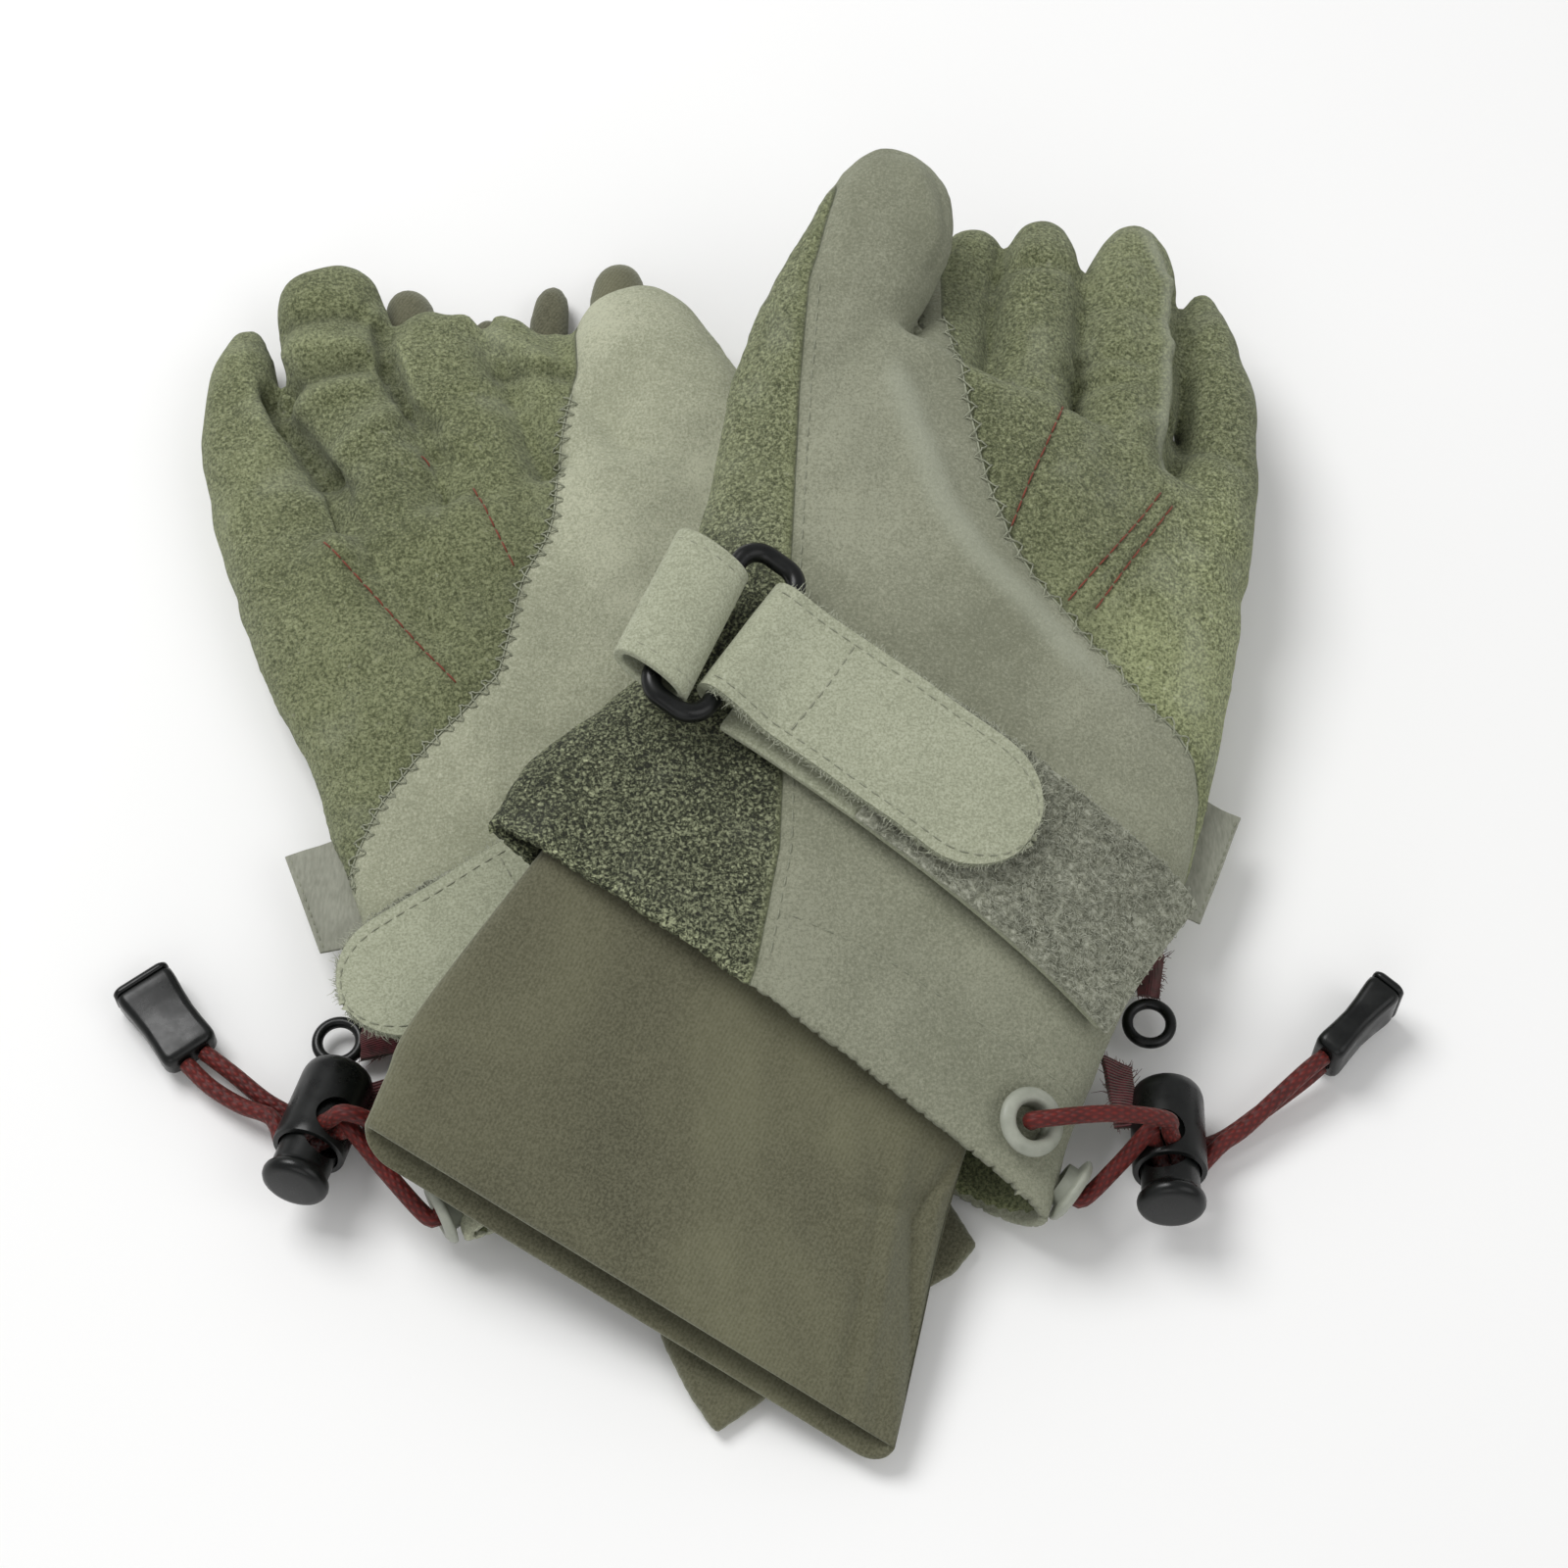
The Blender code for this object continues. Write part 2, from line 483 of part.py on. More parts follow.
    def flat(x0, w0, x1, w1, hf):
        rings.append([on_strap(x0, -hf, w0), on_strap(x0, hf, w0), on_strap(x1, hf, w1), on_strap(x1, -hf, w1)])

    for k in range(5):
        a = math.radians(200 - 27.5 * k)
        flat(cx + f_in * math.cos(a), ring_w0 + f_in * math.sin(a), cx + f_out * math.cos(a), ring_w0 + f_out * math.sin(a), half)
    end = cx + flap_len

    def bridged(s, hf):
        # stiff flap: straight from the ring to the far end, clear of the pile
        w = ring_w0 + f_in + (loose - ring_w0 - f_in) * min(1.0, max(0.0, (s - cx) / (flap_len - 12)))
        flat(s, w, s, w + STRAP_T, hf)

    def laid(s, hf):
        if loose is not None:
            return bridged(s, hf)
        low, high = [], []
        for t in (-hf, hf):
            p = over(s, t, lo2)
            q = on_strap(s, t, ring_w0 + f_in - max(0.0, s - cx - 4) * 0.35)
            base = p if (q - p).dot(sh.m.col[2].xyz) < 0 else q
            low.append(base)
            high.append(base + sh.m.col[2].xyz * STRAP_T if base is q else over(s, t, lo2 + STRAP_T))
        rings.append([low[0], low[1], high[1], high[0]])

    for s in (cx + 6, cx + 12, cx + 18, cx + 25, cx + 33, cx + 42, end - half):
        laid(s, half)
    for a in (30, 52, 70, 83):
        laid(end - half + half * math.sin(math.radians(a)), half * math.cos(math.radians(a)) + 0.2)
    ring_loft(n + "strap_flap", rings, STRAP, on_strap(cx, 0, ring_w0))

    def eyelet(name, v, deg, off):
        c, z = sh.oval(v, deg, off), sh.normal(v, deg)
        washer(name, axes(c, sh.m.col[1].xyz, z), GROM_OD / 2, GROM_ID / 2, GROM_T, EYELET)
        return c, z

    holes = [eyelet(n + "eyelet_upper", *eyelets[0]), eyelet(n + "eyelet_lower", *eyelets[1])]
    return sh, on_strap, holes


def lock_set(n, lock, holes, tail_pts, end_at):
    """barrel, plunger, spring, two strands and the cord end"""
    c, heading, pitch, roll, side = lock
    hole = Vector(c)
    h, p = math.radians(heading), math.radians(pitch)
    axis = Vector((math.cos(h) * math.cos(p), math.sin(h) * math.cos(p), math.sin(p)))      # towards the button
    across = axis.cross(Vector((0, 0, 1))).normalized()
    across = across if across.x * side > 0 else -across                                      # towards the cuff
    up = across.cross(axis)
    up = up if up.z > 0 else -up
    r = math.radians(roll)
    tunnel = (up * math.cos(r) + across * math.sin(r)).normalized()
    m = axes(hole, tunnel, -axis)                    # first axis = tunnel, third = towards the dome
    dome = m.col[2].xyz
    rad, top, low = LOCK_D / 2, 14.4, -5.4
    body = lathe(n + "lock_barrel", m, [(rad - 0.5, low), (rad, low + 0.5), (rad, top - 3.2), (rad - 0.5, top - 1.7),
                                        (rad - 1.7, top - 0.6), (rad - 3.6, top - 0.1), (rad - 5.0, top)], BLACK, 24)
    bore = lathe(n + "bore", m, [(LOCK_BORE / 2, low - 2), (LOCK_BORE / 2, top - 2.2)], BLACK, 24)
    th = lathe(n + "barrel_hole", axes(hole, dome, tunnel), [(HOLE_D / 2, -12), (HOLE_D / 2, 12)], BLACK, 24)
    cut(body, bore)
    cut(body, th)
    # plunger: hollow stem in the bore, flared button outside; its hole sits one stroke lower at rest
    s0 = 7.0
    stem = lathe(n + "lock_plunger", m, [(5.2, low - 8.2), (6.2, low - 7.4), (6.4, low - 6.2), (5.9, low - 5.2),
                                         (STEM_D / 2, low - 4.6), (STEM_D / 2, s0)], BLACK, 24, origin=hole)
    sb = lathe(n + "stem_bore", m, [(STEM_BORE / 2, 0.4), (STEM_BORE / 2, s0 + 3)], BLACK, 24)
    ph = lathe(n + "plunger_hole", axes(hole - dome * STROKE, dome, tunnel), [(HOLE_D / 2, -12), (HOLE_D / 2, 12)], BLACK, 24)
    cut(stem, sb)
    cut(stem, ph)
    turns, z0, z1 = 5, 1.4, top - 3.2
    sweep(n + "lock_spring", [m @ Vector((3.3 * math.cos(2 * math.pi * i / 9), 3.3 * math.sin(2 * math.pi * i / 9),
                                          z0 + (z1 - z0) * i / (turns * 9))) for i in range(turns * 9 + 1)], 0.9, STEEL, 0)
    # cord end: a waisted block with a separate end plate
    (ex, ey, ez), eh, ep, er = end_at
    eh, ep = math.radians(eh), math.radians(ep)
    run = Vector((math.cos(eh) * math.cos(ep), math.sin(eh) * math.cos(ep), math.sin(ep)))
    em = axes(Vector((ex, ey, ez)), Vector((-math.sin(eh), math.cos(eh), 0)), run) @ Matrix.Rotation(math.radians(er), 4, "Z")

    def block(w, d, z):
        k = 1.6
        pts = []
        for sx, sy, a0 in ((1, 1, 0), (-1, 1, 90), (-1, -1, 180), (1, -1, 270)):
            for q in (0, 45, 90):
                a = math.radians(a0 + q)
                pts.append(em @ Vector((sx * (w / 2 - k) + k * math.cos(a), sy * (d / 2 - k) + k * math.sin(a), z)))
        return pts

    ring_loft(n + "cord_end", [block(END_W - 2.0, END_H - 1.8, 0), block(END_W - 0.6, END_H - 0.8, 1.4),
                               block(END_W - 1.0, END_H - 1.4, END_L * 0.45), block(END_W, END_H, END_L - 3.2),
                               block(END_W, END_H, END_L - 1.9)], BLACK)
    ring_loft(n + "cord_end_cap", [block(END_W, END_H, END_L - 1.6), block(END_W, END_H, END_L - 0.6),
                                   block(END_W - 1.4, END_H - 1.4, END_L)], BLACK)
    # the two strands, side by side in the tunnel and along the tail
    beside = dome.cross(tunnel).normalized()
    lens = hole - dome * (STROKE / 2)
    wide = em.col[0].xyz
    turn = 1.0 if wide.dot(beside) > 0 or abs(wide.dot(beside)) < 0.3 else -1.0
    for tag, sgn, (c0, z0) in (("cord_upper", 1, holes[0]), ("cord_lower", -1, holes[1])):
        o = beside * (CORD_PITCH / 2 * sgn)
        far = o.dot(across) < 0                      # the strand further from the cuff passes over the other one
        entry = lens + o + tunnel * (11.8 if far else 9.0)
        path = [c0 + z0 * 0.5, c0 + z0 * 3.2]
        path += [(c0 + z0 * 3.2).lerp(entry, 0.55) + Vector((0, 0, 2.6 if far else -1.6)), entry]
        path += [lens + o + tunnel * (7.8 if far else 7.2), lens + o, lens + o - tunnel * 6.4, lens + o - tunnel * 8.2]
        for i, q in enumerate(tail_pts):
            t = (i + 1) / len(tail_pts)
            side_dir = (beside * (1 - t) + wide * (turn * t)).normalized()
            path.append(Vector(q) + side_dir * ((3.2 if i == 0 else 2.4) * sgn))
        path.append(em @ Vector((2.0 * sgn * turn, 0, -0.4)))
        sweep(n + tag, smooth_path(path, 3), CORD_D, RED, 1)
    return m, hole, em


L, L_strap, L_holes = glove("left", LEFT_AT, LEFT_YAW, LEFT_ROLL, LEFT_SECTIONS, LEFT_SLANT, LEFT_PANEL, LEFT_FINGERS,
                            LEFT_STRAP, LEFT_EYELETS)
R, R_strap, R_holes = glove("right", RIGHT_AT, RIGHT_YAW, RIGHT_ROLL, RIGHT_SECTIONS, RIGHT_SLANT, RIGHT_PANEL,
                            RIGHT_FINGERS, RIGHT_STRAP, RIGHT_EYELETS, RIGHT_LOOSE)
lock_set("left_", LEFT_LOCK, L_holes, LEFT_TAIL, LEFT_END)
lock_set("right_", RIGHT_LOCK, R_holes, RIGHT_TAIL, RIGHT_END)

# woven size label sewn into the little-finger side of each glove
slab("left_label", L.m @ Matrix.Translation((0, 0, -0.4)), [(55.6, 1.5), (61.0, 1.5), (60.4, 27.0), (54.4, 27.0)], 0.8, LABEL)
slab("right_label", R.m @ Matrix.Translation((0, 0, -0.4)), [(-44.8, 1.5), (-44.8, 23.0), (-54.0, 22.0), (-53.0, -1.0)],
     0.8, LABEL)

# left liner cuff
st = []
stations = [(L.at(u0, v0, w), L.at(u1, v1, w), t, L.m.col[2].xyz) for u0, v0, u1, v1, w, t in LINER_INSIDE]
stations += [(Vector(a), Vector(b), t, Vector((0.10, -0.36, 0.93))) for a, b, t in LINER_OUTSIDE]
for a, b, t, nrm in stations:
    along = (b - a).normalized()
    mid, half = (a + b) / 2, (b - a).length / 2
    nrm = (nrm - along * nrm.dot(along)).normalized()
    ang = [2 * math.pi * i / 28 for i in range(28)]
    st.append(([mid + along * (half * power(math.cos(q), 0.8)) + nrm * (t / 2 * power(math.sin(q), 0.7)) for q in ang],
               [mid + along * ((half - LINER_WALL) * power(math.cos(q), 0.8))
                + nrm * ((t / 2 - LINER_WALL) * power(math.sin(q), 0.7)) for q in ang]))
pipe_loft("left_inner_cuff", st, KNIT)

# right inner glove, flat on the table
slab("right_inner_glove", Matrix.Translation((0, 0, 0.0)), INNER_OUTLINE, INNER_T, KNIT)

# maroon webbing: a short tab with a small ring under the strap end, and the tab that carries the lock
# (shared frame: two edge points at the glove, two at the far end, thickness)
TABS = {"left_lock_tab": ((60.2, -66.0, 11.0), (62.2, -81.0, 11.0), (64.4, -80.0, 9.6), (64.4, -68.0, 9.6)),
        "left_side_tab": ((70.8, -42.4, 6.6), (75.0, -46.0, 6.6), (73.0, -50.6, 6.2), (69.4, -49.6, 6.2)),
        "right_lock_tab": ((-66.0, -66.0, 1.9), (-62.0, -80.0, 1.9), (-79.0, -83.0, 1.7), (-81.0, -70.0, 1.7)),
        "right_side_tab": ((-73.0, -54.0, 2.6), (-71.0, -61.0, 2.6), (-80.0, -63.0, 3.0), (-80.0, -56.5, 3.0))}
for name, pts in TABS.items():
    p = [Vector(q) for q in pts]
    nrm = (p[1] - p[0]).cross(p[2] - p[0]).normalized()
    nrm = nrm if nrm.z > 0 else -nrm
    ring_loft(name, [[q - nrm * 0.7 for q in p], [q + nrm * 0.7 for q in p]], MAROON)
RINGS = {"left_side_ring": ((70.6, -56.4, 5.2), 4.2, 2.2), "right_side_ring": ((-86.0, -59.6, 3.6), 4.2, 2.2)}
for name, (c, major, bar) in RINGS.items():
    verts, faces = [], []
    for i in range(18):
        a = 2 * math.pi * i / 18
        for j in range(8):
            q = 2 * math.pi * j / 8
            d = major + bar / 2 * math.cos(q)
            verts.append(Vector(c) + Vector((d * math.cos(a), d * math.sin(a), bar / 2 * math.sin(q))))
            faces.append([i * 8 + j, i * 8 + (j + 1) % 8, ((i + 1) % 18) * 8 + (j + 1) % 8, ((i + 1) % 18) * 8 + j])
    place(name, verts, faces, BLACK)
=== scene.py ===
import bpy, bmesh, math
import numpy as np
from mathutils import Matrix, Vector
from mathutils.bvhtree import BVHTree


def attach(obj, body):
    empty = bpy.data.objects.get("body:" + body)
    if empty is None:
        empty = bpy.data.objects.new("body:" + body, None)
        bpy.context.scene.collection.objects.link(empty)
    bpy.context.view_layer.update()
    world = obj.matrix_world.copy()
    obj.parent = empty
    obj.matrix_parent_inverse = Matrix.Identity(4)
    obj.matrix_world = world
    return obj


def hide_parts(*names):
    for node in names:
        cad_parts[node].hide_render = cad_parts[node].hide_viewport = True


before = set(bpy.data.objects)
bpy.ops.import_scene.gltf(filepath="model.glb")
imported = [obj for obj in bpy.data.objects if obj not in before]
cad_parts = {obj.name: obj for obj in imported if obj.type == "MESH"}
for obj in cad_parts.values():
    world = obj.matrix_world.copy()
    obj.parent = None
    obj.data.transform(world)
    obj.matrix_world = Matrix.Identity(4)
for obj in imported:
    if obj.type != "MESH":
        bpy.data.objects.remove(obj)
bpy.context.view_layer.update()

MM = 0.001
SHIFT = np.array([12.203, 5.796, 0.0])
SCENE = bpy.context.scene
rng = np.random.default_rng(11)
GAP, PANEL_T, PANEL_OFF, STRAP_T, PILE_T = 0.3, 1.2, 0.9, 1.9, 1.4
FLAP_W, BASE_W, KEEPER_W = 27.0, 31.0, 29.0
RING_BAR, RING_W, RING_L = 3.4, 15.5, 39.5
CORD_D, LOCK_D, LOCK_BORE, STEM_D, STEM_BORE, HOLE_D, STROKE, CORD_PITCH = 3.2, 14.0, 11.8, 11.0, 8.4, 8.5, 3.5, 3.6
SUPER = 2.4

# ------------------------------------------------------------------ camera, light, floor
cam_data = bpy.data.cameras.new("camera")
cam_data.sensor_width, cam_data.lens = 36.0, 36.0 * 3100 / 1600
cam_data.clip_start, cam_data.clip_end = 0.05, 10.0
cam = bpy.data.objects.new("camera", cam_data)
cam.location = ((SHIFT[0]) * MM, (SHIFT[1] - 310.0) * MM, 0.537)
cam.rotation_euler = (math.radians(30.0), 0, 0)
SCENE.collection.objects.link(cam)
SCENE.camera = cam


def lamp(name, loc, size, power, target=(0.01, 0.0, 0.02), colour=(1, 1, 1)):
    d = bpy.data.lights.new(name, "AREA")
    d.shape, d.size, d.energy, d.color = "DISK", size, power, colour
    o = bpy.data.objects.new(name, d)
    o.location = loc
    o.rotation_euler = (Vector(target) - Vector(loc)).to_track_quat("-Z", "Y").to_euler()
    SCENE.collection.objects.link(o)
    return o


lamp("key", (-0.55, 0.45, 1.15), 0.75, 11.0)
lamp("fill", (0.95, -0.55, 1.0), 1.1, 3.6)
lamp("front", (-0.2, -1.2, 0.75), 1.0, 2.2)
world = bpy.data.worlds.new("studio")
world.use_nodes = True
world.node_tree.nodes["Background"].inputs["Color"].default_value = (1, 1, 1, 1)
world.node_tree.nodes["Background"].inputs["Strength"].default_value = 0.46
SCENE.world = world
SCENE.view_settings.view_transform = "Standard"


# ------------------------------------------------------------------ materials
class Mat:
    def __init__(self, name, rough=0.9, spec=0.3, sheen=0.0, metal=0.0):
        self.m = bpy.data.materials.new(name)
        self.m.use_nodes = True
        self.nt = self.m.node_tree
        self.b = self.nt.nodes["Principled BSDF"]
        self.b.inputs["Roughness"].default_value = rough
        self.b.inputs["Specular IOR Level"].default_value = spec
        self.b.inputs["Metallic"].default_value = metal
        if sheen:
            self.b.inputs["Sheen Weight"].default_value = sheen
            self.b.inputs["Sheen Roughness"].default_value = 0.6
            self.b.inputs["Sheen Tint"].default_value = (0.9, 0.95, 0.8, 1)
        self.co = self.node("ShaderNodeTexCoord").outputs["Object"]
        self.last = None

    def node(self, kind, **kw):
        n = self.nt.nodes.new(kind)
        for k, v in kw.items():
            setattr(n, k, v)
        return n

    def put(self, sock, val):
        if isinstance(val, (int, float)):
            sock.default_value = val
        elif isinstance(val, (tuple, list)):
            sock.default_value = tuple(val) if len(val) != 3 or len(sock.default_value) == 3 else (*val, 1)
        else:
            self.nt.links.new(val, sock)

    def noise(self, scale, detail=3.0, rough=0.55, vec=None, dist=0.0):
        n = self.node("ShaderNodeTexNoise")
        self.put(n.inputs["Vector"], vec or self.co)
        for k, v in (("Scale", scale), ("Detail", detail), ("Roughness", rough), ("Distortion", dist)):
            n.inputs[k].default_value = v
        return n.outputs["Fac"]

    def math(self, op, a, b=0.0, c=None, clamp=False):
        n = self.node("ShaderNodeMath", operation=op, use_clamp=clamp)
        self.put(n.inputs[0], a)
        self.put(n.inputs[1], b)
        if c is not None:
            self.put(n.inputs[2], c)
        return n.outputs[0]

    def attr(self, name):
        n = self.node("ShaderNodeAttribute", attribute_type="GEOMETRY")
        n.attribute_name = name
        return n.outputs["Fac"]

    def remap(self, x, a, b, lo=0.0, hi=1.0, smooth=True):
        n = self.node("ShaderNodeMapRange", interpolation_type="SMOOTHSTEP" if smooth else "LINEAR")
        self.put(n.inputs["Value"], x)
        for i, v in zip((1, 2, 3, 4), (a, b, lo, hi)):
            n.inputs[i].default_value = v
        return n.outputs[0]

    def ramp(self, x, stops):
        n = self.node("ShaderNodeValToRGB")
        self.put(n.inputs["Fac"], x)
        e = n.color_ramp.elements
        e[0].position, e[0].color = stops[0][0], (*stops[0][1], 1)
        e[1].position, e[1].color = stops[-1][0], (*stops[-1][1], 1)
        for p, c in stops[1:-1]:
            k = e.new(p)
            k.color = (*c, 1)
        return n.outputs["Color"]

    def mix(self, fac, a, b, mode="MIX"):
        n = self.node("ShaderNodeMix", data_type="RGBA", blend_type=mode)
        self.put(n.inputs[0], fac)
        self.put(n.inputs[6], a)
        self.put(n.inputs[7], b)
        return n.outputs[2]

    def stretch(self, scale, rot=(0, 0, 0)):
        n = self.node("ShaderNodeMapping")
        self.put(n.inputs["Vector"], self.co)
        n.inputs["Scale"].default_value = scale
        n.inputs["Rotation"].default_value = rot
        return n.outputs[0]

    def bump(self, height, strength, dist_mm):
        n = self.node("ShaderNodeBump")
        self.put(n.inputs["Height"], height)
        n.inputs["Strength"].default_value = strength
        n.inputs["Distance"].default_value = dist_mm * MM
        if self.last is not None:
            self.nt.links.new(self.last, n.inputs["Normal"])
        self.last = n.outputs[0]
        self.nt.links.new(self.last, self.b.inputs["Normal"])

    def colour(self, c):
        self.put(self.b.inputs["Base Color"], c)

    def rough(self, r):
        self.put(self.b.inputs["Roughness"], r)


def suede_parts(k, dark, mid, light, fine, wide, patch, a=0.3, b=0.3, lo=0.40, hi=0.61, curl=0.0):
    """speckled nap: value, colour"""
    n1 = k.noise(fine, 5.0, 0.76, dist=curl)
    n2 = k.noise(wide, 3.0, 0.6)
    n3 = k.noise(patch, 3.0, 0.5, dist=0.6)
    v = k.math("ADD", n1, k.math("MULTIPLY", k.math("SUBTRACT", n2, 0.5), a))
    v = k.math("ADD", v, k.math("MULTIPLY", k.math("SUBTRACT", n3, 0.5), b))
    return v, k.ramp(v, [(lo, dark), (0.50, mid), (hi, light)])


def leather():
    k = Mat("glove_leather", 0.93, 0.18, 0.22)
    # rough nap: coarse curls near the cuff, finer towards the fingers
    v1, c1 = suede_parts(k, (0.008, 0.010, 0.003), (0.104, 0.119, 0.054), (0.600, 0.640, 0.390), 1500, 500, 34, 0.10, 0.12, 0.425, 0.58, 0.5)
    v2, c2 = suede_parts(k, (0.055, 0.063, 0.024), (0.136, 0.152, 0.070), (0.262, 0.285, 0.150), 1450, 420, 26, 0.12, 0.22, 0.41, 0.60, 0.25)
    coarse = k.attr("coarse")
    rough = k.mix(coarse, c2, c1)
    vr = k.math("ADD", k.math("MULTIPLY", v1, coarse), k.math("MULTIPLY", v2, k.math("SUBTRACT", 1.0, coarse)))
    # smooth nubuck
    v3, c3 = suede_parts(k, (0.198, 0.206, 0.142), (0.262, 0.270, 0.194), (0.346, 0.354, 0.262), 1700, 420, 24, 0.10, 0.50, 0.37, 0.63)
    panel = k.attr("panel")
    side = k.remap(panel, -0.12, 0.12)
    c = k.mix(side, rough, c3)
    # painted highlight on the high spots, painted shade in the hollows, a dark line at the cut edge of the panel
    relief_light_shade = k.attr("relief_light_shade")
    c = k.mix(k.math("MULTIPLY", k.remap(relief_light_shade, 0.0, 1.0), 0.5), c, (0.40, 0.42, 0.33))
    c = k.mix(k.math("MULTIPLY", k.remap(relief_light_shade, 0.0, -1.0), 0.6), c, (0.05, 0.055, 0.025))
    edge = k.math("MULTIPLY", k.remap(panel, -0.9, -0.1), k.remap(panel, 0.15, -0.05))
    c = k.mix(k.math("MULTIPLY", edge, 0.55), c, (0.05, 0.055, 0.03))
    dust = k.noise(420, 2.0, 0.8)
    c = k.mix(k.math("MULTIPLY", k.remap(dust, 0.66, 0.74), 0.2), c, (0.45, 0.46, 0.36))
    # colour scaled by a per-vertex tone that holds real tone plus painted light and shade
    tone_light_shade = k.node("ShaderNodeVectorMath", operation="SCALE")
    k.put(tone_light_shade.inputs[0], c)
    k.put(tone_light_shade.inputs["Scale"], k.attr("tone_light_shade"))
    k.colour(tone_light_shade.outputs[0])
    k.bump(vr, 0.8, 0.5)
    k.bump(k.math("MULTIPLY", v1, coarse), 0.9, 0.75)
    k.bump(k.math("MULTIPLY", v3, side), 0.2, 0.2)
    k.bump(k.remap(panel, -0.25, 0.25), 0.9, 0.55)
    return k.m


def soft_suede(name, dark, mid, light, fine=1500, wide=400, patch=24, bump=0.3, sheen=0.2):
    k = Mat(name, 0.92, 0.2, sheen)
    v, c = suede_parts(k, dark, mid, light, fine, wide, patch, 0.12, 0.12)
    k.colour(c)
    k.bump(v, bump, 0.25)
    return k.m


def thread(name, dark, light):
    k = Mat(name, 0.75, 0.3, 0.2)
    t = k.noise(1400, 2.0, 0.6)
    k.colour(k.ramp(t, [(0.3, dark), (0.7, light)]))
    k.bump(t, 0.4, 0.1)
    return k.m


def knit():
    k = Mat("knit_jersey", 0.86, 0.25, 0.35)
    s1 = k.stretch((1, 1, 1), (0, 0, math.radians(28)))
    w = k.node("ShaderNodeTexWave", wave_type="BANDS", bands_direction="X")
    k.put(w.inputs["Vector"], s1)
    w.inputs["Scale"].default_value, w.inputs["Distortion"].default_value = 420.0, 1.2
    w.inputs["Detail"].default_value, w.inputs["Detail Scale"].default_value = 2.0, 1.5
    w2 = k.node("ShaderNodeTexWave", wave_type="BANDS", bands_direction="Y")
    k.put(w2.inputs["Vector"], s1)
    w2.inputs["Scale"].default_value, w2.inputs["Distortion"].default_value = 300.0, 1.5
    f = k.math("MULTIPLY", w.outputs["Fac"], k.math("ADD", 0.6, k.math("MULTIPLY", w2.outputs["Fac"], 0.4)))
    patch = k.noise(17, 3.0, 0.55, dist=0.8)
    fine = k.noise(1900, 3.0, 0.7)
    # large patches from dark to light: uneven tone and painted satin sheen
    c = k.ramp(patch, [(0.32, (0.066, 0.063, 0.034)), (0.5, (0.104, 0.100, 0.056)), (0.66, (0.165, 0.162, 0.093))])
    c = k.mix(k.math("MULTIPLY", k.remap(f, 0.0, 0.9), 0.5), k.mix(0.40, c, (0.03, 0.028, 0.015)), c)
    c = k.mix(k.math("MULTIPLY", k.remap(fine, 0.36, 0.64), 0.45), c, (0.185, 0.180, 0.117))
    k.colour(c)
    k.bump(f, 0.35, 0.12)
    k.bump(fine, 0.25, 0.15)
    return k.m


def plastic():
    k = Mat("moulded_plastic", 0.30, 0.32)
    n = k.noise(260, 4.0, 0.6)
    g = k.noise(1500, 2.0, 0.5)
    k.colour(k.ramp(n, [(0.3, (0.0025, 0.003, 0.003)), (0.7, (0.006, 0.007, 0.0065))]))
    k.rough(k.remap(n, 0.3, 0.7, 0.24, 0.38))
    k.bump(g, 0.12, 0.05)
    return k.m


def elastic():
    k = Mat("braided_elastic", 0.55, 0.35, 0.05)
    a, t = k.attr("around"), k.attr("along")
    p = k.math("SINE", k.math("ADD", k.math("MULTIPLY", a, 8.0), k.math("MULTIPLY", t, 2.6)))
    q = k.math("SINE", k.math("SUBTRACT", k.math("MULTIPLY", a, 8.0), k.math("MULTIPLY", t, 2.6)))
    f = k.math("MULTIPLY", k.math("ADD", p, 1.0), k.math("ADD", q, 1.0))
    n = k.noise(240, 3.0, 0.6)
    c = k.ramp(k.math("ADD", k.math("MULTIPLY", f, 0.12), k.math("MULTIPLY", n, 0.5)),
               [(0.15, (0.045, 0.002, 0.0015)), (0.45, (0.105, 0.0045, 0.003)), (0.8, (0.170, 0.010, 0.006))])
    k.colour(c)
    k.bump(f, 0.35, 0.16)
    return k.m


def webbing():
    k = Mat("maroon_web", 0.8, 0.25, 0.3)
    n = k.noise(500, 3.0, 0.7)
    w = k.attr("along")
    f = k.math("SINE", k.math("MULTIPLY", w, 5.5))
    k.colour(k.ramp(k.math("ADD", k.math("MULTIPLY", f, 0.15), n), [(0.3, (0.025, 0.003, 0.006)), (0.75, (0.15, 0.015, 0.028))]))
    k.bump(f, 0.6, 0.35)
    return k.m


def tape():
    k = Mat("woven_tape", 0.75, 0.3, 0.2)
    w = k.noise(1800, 2.0, 0.5, vec=k.stretch((1, 0.25, 1)))
    n = k.noise(60, 3.0, 0.5)
    k.colour(k.ramp(k.math("ADD", k.math("MULTIPLY", w, 0.5), k.math("MULTIPLY", n, 0.5)),
                    [(0.35, (0.19, 0.195, 0.155)), (0.65, (0.30, 0.305, 0.25))]))
    k.bump(w, 0.35, 0.1)
    return k.m


def enamel():
    k = Mat("painted_eyelet", 0.42, 0.45)
    n = k.noise(300, 3.0, 0.6)
    k.colour(k.ramp(n, [(0.3, (0.26, 0.275, 0.225)), (0.7, (0.34, 0.355, 0.295))]))
    k.rough(k.remap(n, 0.3, 0.7, 0.34, 0.55))
    k.bump(n, 0.1, 0.1)
    return k.m


def steel():
    k = Mat("spring_wire", 0.25, 0.5, metal=1.0)
    n = k.noise(600, 2.0, 0.5)
    k.colour(k.ramp(n, [(0.3, (0.55, 0.55, 0.53)), (0.7, (0.78, 0.78, 0.76))]))
    return k.m


